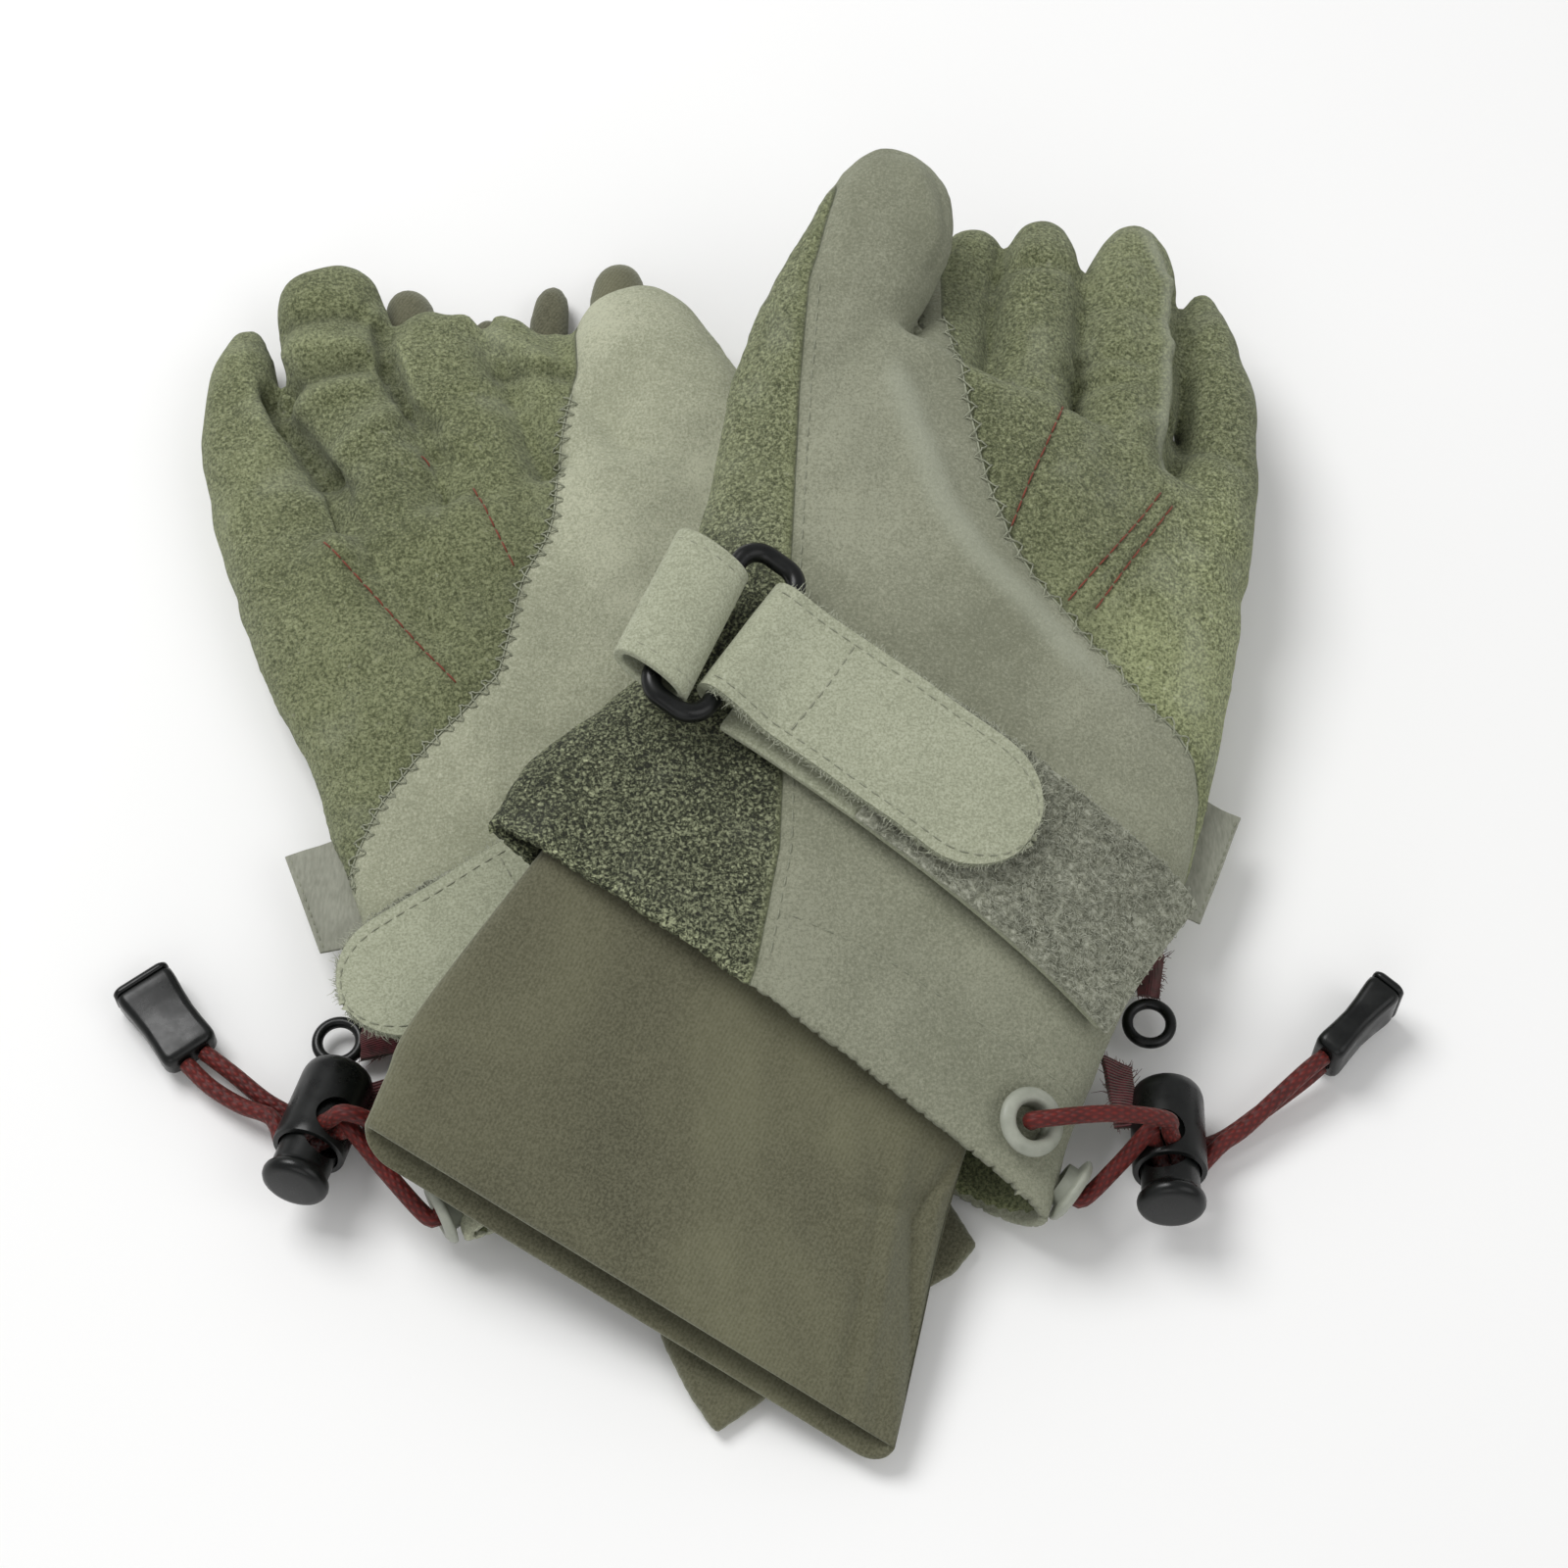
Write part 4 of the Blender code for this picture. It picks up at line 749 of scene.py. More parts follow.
def open_mouth(side, sh, v, f, attrs, mouth_v, slant, thick):
    """cut the cuff end off along its slanted plane"""
    q = sh.local(v)
    keep = q[:, 1] - slant * q[:, 0] > mouth_v
    # slide the cut ring onto the plane
    e = edges_of(f)
    near = np.zeros(len(v), bool)
    cross = keep[e[:, 0]] != keep[e[:, 1]]
    outer = np.where(keep[e[:, 0]], e[:, 1], e[:, 0])[cross]
    near[outer] = True
    d = q[:, 1] - slant * q[:, 0] - mouth_v
    q[near, 1] -= d[near]
    ok = (keep | near)[f].all(axis=1)
    v = sh.world(q)
    used = np.unique(f[ok])
    remap = np.full(len(v), -1)
    remap[used] = np.arange(len(used))
    return v[used], remap[f[ok]], {k: a[used] for k, a in attrs.items()}


def thicken(ob, thick):
    md = ob.modifiers.new("wall", "SOLIDIFY")
    md.thickness, md.offset = thick * MM, -1.0
    md.use_even_offset = False
    return ob


vl, flc, at = open_mouth("left", L, v, f, {"panel": panel, "coarse": coarse, "relief_light_shade": relief_light_shade_and_patches, "tone_light_shade": tone_light_shade}, -60.0, L.slant, 1.7)
left_skin = make("leather_left", vl, flc, LEATHER, "left_glove",
                 ("left_palm_shell", "left_back_shell", "left_palm_panel", "left_thumb", "left_index_finger",
                  "left_middle_finger", "left_ring_finger", "left_little_finger"), at)
thicken(left_skin, 1.7)
left_bvh = BVHTree.FromPolygons([Vector(p) for p in vl], [tuple(map(int, p)) for p in flc])

# ---- right glove skin
v, f = hand("right", R, RIGHT_FINGERS)
q = R.local(v)
n = normals(v, f)
nl = n @ R.R
u_, v_, w_ = q[:, 0], q[:, 1], q[:, 2]
up = smoothstep(nl[:, 2], 0.0, 0.45)
uv = q[:, :2]
de, se, re = seg_dist(uv, R_LOCKEDGE)
panel = np.where(se > 0, de, -de)
thumb = (v_ > 78) & (u_ > 40)
panel = np.where(thumb & (up < 0.5), np.maximum(panel, 4.0), panel)
panel = np.where((up < 0.02) & ~thumb & (v_ > -66), -6.0, panel)
coarse = 0.06 + 0.16 * smoothstep(fbm(v, 30, 2, 3), -0.3, 0.5)
disp = fbm(v, 30, 2, 41) * 1.1 + fbm(v, 12, 3, 45) * 0.62 + fbm(v, 3.6, 2, 49) * 0.12
disp += up * 0.45 * smoothstep(panel, -0.5, 0.5) - up * 0.3 * gaussian(de, 1.3)
crease = np.zeros(len(v))
for d in R_DARTS:
    dd = seg_dist(uv, d)[0]
    disp += up * (gaussian(dd, 1.0) * -0.75 + gaussian(dd, 4.5) * 0.7)
    crease += gaussian(dd, 1.2) * up
for d in R_FOLDS:
    dd = seg_dist(uv, d)[0]
    disp += up * (gaussian(dd, 2.2) * -1.5)
rim = [(36.4, 98), (36.0, 108), (37.6, 116), (42, 122.6), (50, 125.8), (58, 123.4), (64, 114), (66.6, 104), (67.2, 96)]
dt = seg_dist(uv, rim)[0]
disp += up * (-0.5 * gaussian(dt, 0.7))
for a, b, amp, wid in (((2, 146), (-4, 139), -0.9, 2.0), ((4, 120), (16, 118), -0.5, 2.4), ((-12, 118), (-6, 120), -0.6, 3.0),
                       ((20.5, 116.5), (33.6, 110.7), -1.6, 1.8), ((-46, 96), (-30, 92), -0.8, 3.0), ((-44, 60), (-34, 52), -0.7, 4.0),
                       ((0, 137), (-1.6, 125), -2.6, 1.7), ((-1.6, 125), (-1.2, 113), -2.6, 1.7), ((-1.2, 113), (3.0, 106), -1.3, 1.8),
                       ((-26.8, 131), (-26.0, 121), -3.2, 1.8), ((-26.0, 121), (-22.0, 104), -3.2, 1.7), ((-22.0, 104), (-19.0, 97), -1.8, 1.8),
                       ((-37, 140), (-36, 118), -0.8, 1.8), ((-20, 145), (-4, 140), -2.2, 2.6), ((-25, 129.4), (-7, 126.8), -2.9, 2.3),
                       ((10, 112), (22, 108), -0.8, 2.4), ((-33, 104), (-44, 110), -0.7, 2.2), ((2, 100), (8, 92), -1.0, 2.0)):
    d0 = seg_dist(uv, [a, b])[0]
    disp += up * gaussian(d0, wid) * amp
for a, b, amp, wid in (((-21, 137.5), (-6, 131.5), 2.0, 2.4), ((-31, 143), (-30.5, 118), 0.8, 2.2), ((18.0, 134), (29.2, 115.0), 2.4, 2.2),
                       ((-24, 122.0), (-9, 121.5), 2.0, 2.4), ((-26, 98), (-24, 80), 1.7, 3.0), ((-18, 106), (-4, 112.5), 2.2, 2.6), ((2.4, 131), (2.2, 114), 1.8, 2.0),
                       ((-12, 96), (-6, 74), 1.0, 3.4), ((-30, 100), (-24, 60), 1.0, 6.0), ((-2, 100), (0, 60), 1.0, 6.0)):
    d0 = seg_dist(uv, [a, b])[0]
    disp += up * gaussian(d0, wid) * amp
disp *= smoothstep(v_, -70, -56) * 0.8 + 0.2
v = relax(v + n * disp[:, None], f, 3)
# tone: the smooth panel 1.5 times brighter, the rough side a little darker from the finger bases towards the cuff
tone_light_shade = 1.0 + 0.50 * smoothstep(panel, -0.2, 0.6) - 0.06 * (panel < 0) * smoothstep(v_, 90, 60)
# painted highlight along the raised folds
lit = np.zeros(len(v))
for a, b in (((-21, 137.5), (-6, 131.5)), ((18, 134), (29.2, 115)), ((-24, 122), (-9, 121.5)), ((-18, 106), (-4, 112.5)), ((2.4, 131), (2.2, 114)), ((-31, 143), (-30.5, 118)),
             ((-26, 98), (-24, 80))):
    lit = np.maximum(lit, gaussian(seg_dist(uv, [a, b])[0], 2.2))
# painted shade in the deep creases
low = np.zeros(len(v))
for a, b in (((0, 137), (-1.4, 118)), ((-26.8, 131), (-22, 104)), ((-22, 104), (-19, 97)), ((-25, 129.4), (-7, 126.8)), ((20.5, 116.5), (33.6, 110.7)), ((-20, 145), (-4, 140)),
             ((-1.2, 113), (3, 106))):
    low = np.maximum(low, gaussian(seg_dist(uv, [a, b])[0], 2.0))
# painted highlight and painted shade folded into the tone
tone_light_shade += (0.16 * up * lit - 0.30 * up * low) * (panel < 0)
# colour attribute: painted highlight on the folds, painted shade in the creases and darts, random lighter patches
relief_light_shade_and_patches = 0.16 * up * lit - 0.2 * up * low * (panel < 0) - 0.45 * crease + 0.35 * up * np.clip(fbm(v, 9, 3, 61), 0, 1) * (panel < 0)
vr, frc, at = open_mouth("right", R, v, f, {"panel": panel, "coarse": coarse, "relief_light_shade": relief_light_shade_and_patches, "tone_light_shade": tone_light_shade}, -60.0, R.slant, 1.7)
right_skin = make("leather_right", vr, frc, LEATHER, "right_glove",
                  ("right_palm_shell", "right_back_shell", "right_palm_panel", "right_thumb", "right_index_finger",
                   "right_middle_finger", "right_ring_finger", "right_little_finger"), at)
thicken(right_skin, 1.7)
right_bvh = BVHTree.FromPolygons([Vector(p) for p in vr], [tuple(map(int, p)) for p in frc])


def on_skin(sh, bvh, pts, lift=0.0):
    """drop (u, v) points onto the palm side: positions and normals in shared millimetres"""
    down = -sh.m.col[2].xyz
    P, N = [], []
    for a, b in pts:
        hit, nrm, _, _ = bvh.ray_cast(sh.at(a, b, 60), down, 90)
        if hit is None:
            hit, nrm, _, _ = bvh.find_nearest(sh.at(a, b, 4))
        if nrm.dot(down) > 0:
            nrm = -nrm
        P.append(hit + nrm * lift)
        N.append(nrm)
    return np.array([tuple(p) for p in P]), np.array([tuple(p) for p in N])


def row_on(sh, bvh, poly, soup, offset=0.0, **kw):
    pts = poly_smooth(poly, 0.8)
    t = np.gradient(pts, axis=0)
    t /= np.linalg.norm(t, axis=1)[:, None]
    pts = pts + np.stack([-t[:, 1], t[:, 0]], 1) * offset
    P, N = on_skin(sh, bvh, pts)
    for _ in range(3):
        N = np.vstack([N[:1], (N[:-2] + N[1:-1] + N[2:]) / 3, N[-1:]])
    stitches(soup, P, N, **kw)


def overlock(sh, bvh, poly, soup, pitch=4.6, reach=2.0, r=0.16):
    """light threads that cross the edge in a V at every pitch, and a run along it"""
    pts = poly_smooth(poly, 0.5)
    d = np.r_[0, np.cumsum(np.linalg.norm(np.diff(pts, axis=0), axis=1))]
    t = np.gradient(pts, axis=0)
    t /= np.linalg.norm(t, axis=1)[:, None]
    s = 1.0
    while s < d[-1] - pitch:
        def at(x, side):
            i = np.searchsorted(d, x)
            i = min(i, len(pts) - 1)
            return pts[i] + np.array([-t[i][1], t[i][0]]) * side
        jit = rng.normal(0, 0.35, 4)
        for a, b in (((s, -reach * 0.8), (s + pitch * 0.5 + jit[0], reach * 0.9)), ((s + pitch * 0.5 + jit[0], reach * 0.9), (s + pitch, -reach * 0.8 + jit[1] * 0.5))):
            line = [at(a[0] + (b[0] - a[0]) * k, a[1] + (b[1] - a[1]) * k) for k in np.linspace(0, 1, 7)]
            P, N = on_skin(sh, bvh, line)
            rise = np.array([-0.1, 0.35, 0.5, 0.55, 0.5, 0.35, -0.1]) + 0.15 * jit[2]
            soup.tube(P + N * rise[:, None], r, 5)
        s += pitch
    P, N = on_skin(sh, bvh, pts[::3])
    soup.tube(P + N * 0.12, 0.22, 5)


# seams and stitches of the left glove
sp = Soup()
seam_top = [p for p in L_SEAM if p[1] < 100 and p[1] > -62]
row_on(L, left_bvh, seam_top, sp, offset=1.9, length=2.4, gap=0.9, r=0.16, lift=-0.04)
row_on(L, left_bvh, L_HEMST, sp, length=2.2, gap=1.1, r=0.12, lift=-0.03)
sp.piece("seam_stitches_left", SEAM_SHADED, "left_glove")
sp = Soup()
overlock(L, left_bvh, [p for p in L_LOCKEDGE if 26 < p[1] < 100], sp)
sp.piece("overlock_left", PALE, "left_glove")
sp = Soup()
for d in L_DARTS:
    row_on(L, left_bvh, d, sp, length=3.0, gap=0.45, r=0.2, lift=0.1)
sp.piece("red_stitches_left", REDTH, "left_glove")
# seams and stitches of the right glove
sp = Soup()
overlock(R, right_bvh, [p for p in R_LOCKEDGE if 0 < p[1] < 107], sp, pitch=3.4)
sp.piece("overlock_right", PALE, "right_glove")
sp = Soup()
for d in R_DARTS:
    row_on(R, right_bvh, d, sp, length=3.0, gap=0.45, r=0.2, lift=0.1)
sp.piece("red_stitches_right", REDTH, "right_glove")


# ------------------------------------------------------------------ wrist straps
def plate(name, grid, thick, mat, body, replaces=(), edge=0.55, wob=0.1, seed=0, levels=1):
    """a soft plate from a grid of middle points (rows x columns x 3, mm)"""
    g = np.array(grid, float)
    m, k = g.shape[:2]
    flat = g.reshape(-1, 3)
    flat = flat + fbm(flat, 5.0, 2, 70 + seed)[:, None] * wob * np.array([0, 0, 1.0])
    faces = [(i * k + j, i * k + j + 1, (i + 1) * k + j + 1, (i + 1) * k + j) for i in range(m - 1) for j in range(k - 1)]
    ob = make(name, flat, faces, mat, body, replaces)
    s = ob.modifiers.new("thick", "SOLIDIFY")
    s.thickness, s.offset = thick * MM, 0.0
    b = ob.modifiers.new("edge", "BEVEL")
    b.width, b.segments, b.limit_method, b.angle_limit = edge * MM, 3, "ANGLE", math.radians(50)
    b.harden_normals = False
    if levels:
        d = ob.modifiers.new("sub", "SUBSURF")
        d.levels = d.render_levels = levels
    return ob


def grid_stitches(grid, path, soup, thick, **kw):
    """threads over a plate: path of (row, column) in grid units"""
    g = np.array(grid, float)
    m, k = g.shape[:2]
    path = poly_smooth(path, 0.15)

    def at(r, c):
        r, c = min(max(r, 0), m - 1.001), min(max(c, 0), k - 1.001)
        i, j = int(r), int(c)
        fr, fc = r - i, c - j
        return ((g[i, j] * (1 - fr) + g[i + 1, j] * fr) * (1 - fc) + (g[i, j + 1] * (1 - fr) + g[i + 1, j + 1] * fr) * fc)
    P, N = [], []
    for r, c in path:
        p = at(r, c)
        a = at(r + 0.2, c) - at(r - 0.2, c)
        b = at(r, c + 0.2) - at(r, c - 0.2)
        nn = np.cross(a, b)
        nn /= np.linalg.norm(nn) + 1e-12
        if nn[2] < 0:
            nn = -nn
        P.append(p + nn * thick / 2)
        N.append(nn)
    stitches(soup, np.array(P), np.array(N), **kw)


def strap_set(side, sh, bvh, strap, far, loose, body, ring_body, flap_body):
    (ru, rv), ang, flap_len = strap
    ca, sa = math.cos(math.radians(ang)), math.sin(math.radians(ang))

    def on(s, t, w):
        return sh.at(ru + ca * s - sa * t, rv + sa * s + ca * t, w)

    def top(s, t):
        return sh.top(ru + ca * s - sa * t, rv + sa * s + ca * t)

    def angle(u, v):
        left, right = between(sh.sections, v)[:2]
        x = max(-1.0, min(1.0, (u - (right + left) / 2) / ((right - left) / 2)))
        return math.degrees(math.acos(power(x, SUPER / 2)))

    def over(s, t, off):
        u, v = ru + ca * s - sa * t, rv + sa * s + ca * t
        return sh.oval(v, angle(u, v), off)

    seat = PANEL_OFF + PANEL_T + GAP + 0.7
    bar_x = RING_W / 2 - RING_BAR / 2
    ring_w0 = max(top(x, t) for x in (-bar_x - 5, 0, bar_x) for t in (-15, 15)) + seat + STRAP_T + GAP + RING_BAR / 2 + 0.1
    cx, cy, cr = RING_W / 2 - RING_BAR / 2, RING_L / 2 - RING_BAR / 2, 4.2
    # ring: smooth rounded rectangle with slightly fuller corners
    loop = []
    for sx, sy, a0 in ((1, 1, 0), (-1, 1, 90), (-1, -1, 180), (1, -1, 270)):
        for kk in range(13):
            a = math.radians(a0 + 7.5 * kk)
            loop.append((sx * (cx - cr) + cr * math.cos(a), sy * (cy - cr) + cr * math.sin(a)))
    m = len(loop)
    rings = []
    for i in range(m):
        (x0, y0), (x1, y1), (x2, y2) = loop[i - 1], loop[i], loop[(i + 1) % m]
        tx, ty = x2 - x0, y2 - y0
        ln = math.hypot(tx, ty)
        nx, ny = ty / ln, -tx / ln
        rr = RING_BAR / 2 * (1.06 + 0.06 * (abs(y1) > cy - 4))
        y1 = y1 * (1.10 if y1 < 0 else 1.0)
        rings.append([on(x1 + nx * rr * math.cos(b), y1 + ny * rr * math.cos(b), ring_w0 + rr * math.sin(b))
                      for b in [2 * math.pi * kk / 18 for kk in range(18)]])
    verts = [p for r in rings for p in r]
    faces = [(i * 18 + j, i * 18 + (j + 1) % 18, ((i + 1) % m) * 18 + (j + 1) % 18, ((i + 1) % m) * 18 + j)
             for i in range(m) for j in range(18)]
    make("ring_" + side, verts, faces, BLACK, ring_body, (side + "_strap_ring",))

    # keeper loop, open at both ends of the bar
    hw, hh, mid = 7.2, 3.9, -cx - 3.6
    rows = []
    for i in range(41):
        a = 2 * math.pi * i / 40
        x = mid + hw * power(math.cos(a), 0.85)
        w = ring_w0 + 0.3 + hh * power(math.sin(a), 0.85) - 0.25 * max(0.0, -math.cos(a))
        lean = (0.9, -0.17, -18.0, 11.0) if side == "left" else (0.0, 0.0, -16.0, 13.0)
        rows.append([on(x + lean[0] + lean[1] * t, t, w + 0.15 * math.sin(t * 0.5 + a)) for t in np.linspace(lean[2], lean[3], 15)])
    kg = np.array([[tuple(p) for p in r] for r in rows])
    keeper = plate("keeper_" + side, kg, 2.0, STRAP, body, (side + "_strap_keeper",), seed=1)
    sp = Soup()
    grid_stitches(kg, [(2.0, 1.2), (12, 1.2), (18.5, 1.2)], sp, 1.7, length=2.0, gap=0.9, r=0.15, lift=-0.06)
    grid_stitches(kg, [(2.0, 12.8), (12, 12.8), (18.5, 12.8)], sp, 1.7, length=2.0, gap=0.9, r=0.15, lift=-0.06)
    sp.piece("keeper_stitches_" + side, SEAM_SHADED, body)

    # band over the shell and the pile on it
    first = cx + RING_BAR / 2 + GAP + STRAP_T + 0.4
    stops = first + (far - first) * (1 - (1 - np.linspace(0, 1, 46)) ** 1.35)
    ts = np.linspace(-BASE_W / 2, BASE_W / 2, 15)
    bg = np.array([[tuple(over(s, t, seat + STRAP_T / 2 - 0.25)) for t in ts] for s in stops])
    plate("strap_band_" + side, bg, STRAP_T, STRAP, body, (side + "_strap_base",), seed=2)
    start = 40.0 if side == "left" else 30.0
    ps = np.r_[start, stops[stops > start + 0.6][:-1], far - 0.3, far + 0.8]
    pg = np.array([[tuple(over(s, t * (BASE_W + 0.7) / BASE_W, seat + STRAP_T + 0.45)) for t in ts] for s in ps])
    plate("pile_pad_" + side, pg, 1.1, PILE, body, (side + "_strap_pile",), seed=3, wob=0.25, edge=0.4)
    # loops of the pile
    sp = Soup()
    lo_s = 44.0 if side == "left" else 34.0
    span = far + 0.6 - lo_s
    for _ in range(int(5200 * span / 52.0)):
        s, t = lo_s + span * rng.random(), (rng.random() - 0.5) * (BASE_W + 0.6)
        a = rng.random() * math.pi
        wd, ht = 0.35 + 0.45 * rng.random(), 0.45 + 0.6 * rng.random() ** 2
        c = np.array(tuple(over(s, t, seat + STRAP_T + 0.85)))
        nn = np.array(tuple(over(s, t, seat + STRAP_T + 1.85))) - c
        x1 = np.array(tuple(over(s + 0.5, t, seat + STRAP_T + 0.85))) - c
        x1 /= np.linalg.norm(x1)
        y1 = np.cross(nn, x1)
        d = x1 * math.cos(a) + y1 * math.sin(a)
        side_v = np.cross(nn, d)
        lean = (rng.random() - 0.5) * 0.7
        pts = [c - d * wd - nn * 0.1, c - d * wd * 1.15 + nn * ht * 0.6 + side_v * lean * 0.4, c + nn * ht + side_v * lean,
               c + d * wd * 1.15 + nn * ht * 0.6 + side_v * lean * 0.5, c + d * wd - nn * 0.1]
        sp.tube(pts, 0.075, 3, caps=False)
    sp.piece("pile_loops_" + side, PILE, body)

    # flap
    half = FLAP_W / 2
    lo2 = seat + STRAP_T + GAP + PILE_T + GAP + 0.1
    f_in = RING_BAR / 2 + GAP
    end = cx + flap_len
    rows = []
    cols = np.linspace(-1, 1, 17)
    for kk in range(13):
        a = math.radians(262 - 14.4 * kk)
        rm = f_in + STRAP_T / 2
        rows.append([on(cx + rm * math.cos(a), c * half, ring_w0 + rm * math.sin(a)) for c in cols])
    body_s = list(np.arange(cx + 3, end - half, 1.6))
    tip = [end - half + half * math.sin(math.radians(a)) for a in (4, 12, 20, 28, 36, 44, 52, 60, 67, 73, 78, 82, 85.5, 88)]

    def mid_point(s, t):
        if loose is not None:
            w = ring_w0 + f_in + (loose - ring_w0 - f_in) * min(1.0, max(0.0, (s - cx) / (flap_len - 12)))
            return np.array(tuple(on(s, t, w + STRAP_T / 2 + 0.25 * math.sin(s * 0.11) + 0.2 * math.sin(t * 0.2))))
        p = np.array(tuple(over(s, t, lo2 + STRAP_T / 2)))
        qn = np.array(tuple(on(s, t, ring_w0 + f_in - max(0.0, s - cx - 4) * 0.35 + STRAP_T / 2)))
        z = np.array(tuple(sh.m.col[2].xyz))
        hgt = (qn - p) @ z
        # soft maximum of the two heights
        extra = 0.5 * (hgt + math.sqrt(hgt * hgt + 1.2))
        return p + z * extra
    for s in body_s + tip:
        hf = half if s <= end - half else half * math.sqrt(max(0.0009, 1 - ((s - (end - half)) / half) ** 2))
        curl = 0.5 * smoothstep(np.array([s]), end - 16, end)[0]
        rows.append([Vector(mid_point(s, c * hf) + np.array(tuple(sh.m.col[2].xyz)) * (curl + 0.12 * math.sin(s * 0.35 + c * 2))) for c in cols])
    fg = np.array([[tuple(p) for p in r] for r in rows])
    n0 = 13
    blend_rows = relax_rows(fg, n0 - 2, n0 + 5)
    plate("flap_" + side, blend_rows, STRAP_T, STRAP, flap_body, (side + "_strap_flap",), seed=4)
    sp = Soup()
    fg = blend_rows
    last = len(fg) - 1
    inset = 17 / 27.0 * 2.0                                   # columns for about 2 mm
    left_run = [(9, 1.3), (20, 1.3), (n0 + len(body_s) - 2, 1.3)]
    nb = n0 + len(body_s)
    arc_l = [(nb + 4, 1.5), (nb + 7, 2.0), (nb + 9.2, 4.4), (nb + 9.8, 8.0)]
    arc_r = [(nb + 9.2, 11.6), (nb + 7, 14.0), (nb + 4, 14.5)]
    path = left_run + arc_l + arc_r + [(nb - 2, 14.7), (20, 14.7), (9, 14.7)]
    grid_stitches(fg, path, sp, STRAP_T, length=2.0, gap=0.8, r=0.15, lift=-0.05)
    cs = n0 + 8
    grid_stitches(fg, [(cs, 1.5), (cs + 0.3, 8), (cs, 14.5)], sp, STRAP_T, length=2.0, gap=0.8, r=0.15, lift=-0.05)
    sp.piece("flap_stitches_" + side, SEAM_SHADED, flap_body)
    # short fibres on the cut edges of the flap
    sp = Soup()
    for kk in range(1500):
        i = rng.integers(10, last)
        j = 0 if rng.random() < 0.5 else 16
        p, nxt = fg[i, j], fg[i, 1 if j == 0 else 15]
        out = p - nxt
        out /= np.linalg.norm(out) + 1e-9
        fr = rng.random()
        p = p * (1 - fr) + fg[min(i + 1, last), j] * fr
        dirn = out + rng.normal(0, 0.5, 3)
        dirn /= np.linalg.norm(dirn)
        st = p + out * -0.1 + np.array(tuple(sh.m.col[2].xyz)) * (rng.random() - 0.5) * 1.6
        ln = 0.5 + 1.3 * rng.random() ** 3
        sp.tube([st, st + dirn * ln * 0.6, st + (dirn + rng.normal(0, 0.4, 3)) * ln], [0.09, 0.075, 0.03], 3, caps=False)
    sp.piece("flap_fuzz_" + side, FUZZ, flap_body)
    return on, over


def relax_rows(g, a, b):
    g = g.copy()
    for _ in range(3):
        h = g.copy()
        for i in range(max(a, 1), min(b, len(g) - 1)):
            h[i] = (g[i - 1] + g[i] * 2 + g[i + 1]) / 4
        g = h
    return g


strap_set("left", L, left_bvh, ((-46.5, -0.5), -8.5, 62.5), 98.0, None, "left_glove", "left_strap_ring", "left_strap_flap")
strap_set("right", R, right_bvh, ((8.0, -7.0), 192.0, 55.5), 46.0, 11.6, "right_glove", "right_glove", "right_glove")


# ------------------------------------------------------------------ eyelets
def axes(o, x, z):
    z = z.normalized()
    x = (x - z * x.dot(z)).normalized()
    y = z.cross(x)
    m = Matrix((x, y, z)).transposed().to_4x4()
    m.translation = o
    return m


def lathe(m, profile, seg=48, squash=1.0):
    return loft([[m @ Vector((r * math.cos(a), r * squash * math.sin(a), h)) for a in
                  [2 * math.pi * i / seg for i in range(seg)]] for r, h in profile])


def eyelet(name, sh, v, deg, off, body, node):
    c = sh.oval(v, deg, off)
    z = (sh.oval(v, deg, 1.0) - sh.oval(v, deg, 0.0)).normalized()
    m = axes(c, sh.m.col[1].xyz, z)
    prof = [(3.3, -2.4), (3.45, -0.6), (3.5, 0.9), (3.7, 1.45), (4.2, 1.8), (5.0, 1.75), (5.9, 1.35), (6.4, 0.8), (6.5, 0.35), (6.3, 0.0),
            (5.2, -0.3), (4.1, -0.5), (4.0, -2.4)]
    seg = 48
    rings = [[m @ Vector((r * math.cos(2 * math.pi * i / seg), r * math.sin(2 * math.pi * i / seg), h)) for r, h in prof] for i in range(seg)]
    k = len(prof)
    verts = [p for r in rings for p in r]
    faces = [(i * k + j, i * k + (j + 1) % k, ((i + 1) % seg) * k + (j + 1) % k, ((i + 1) % seg) * k + j) for i in range(seg) for j in range(k)]
    make(name, verts, faces, EYELET, body, (node,))
    return c, z


LE = [eyelet("eyelet_a_left", L, -49.5, 38, 2.6, "left_glove", "left_eyelet_upper"),
      eyelet("eyelet_b_left", L, -52.0, 0, 2.0, "left_glove", "left_eyelet_lower")]
RE = [eyelet("eyelet_a_right", R, -53.0, 180, 1.2, "right_glove", "right_eyelet_upper"),
      eyelet("eyelet_b_right", R, -38.5, 180, 1.2, "right_glove", "right_eyelet_lower")]


# ------------------------------------------------------------------ cord locks, cords, cord ends
def cat(pts, steps):
    out = []
    for i in range(len(pts) - 1):
        p0, p1, p2, p3 = pts[max(0, i - 1)], pts[i], pts[i + 1], pts[min(len(pts) - 1, i + 2)]
        for k in range(steps):
            t = k / steps
            out.append(0.5 * ((2 * p1) + (p2 - p0) * t + (2 * p0 - 5 * p1 + 4 * p2 - p3) * t * t + (3 * p1 - p0 - 3 * p2 + p3) * t ** 3))
    out.append(pts[-1])
    return out


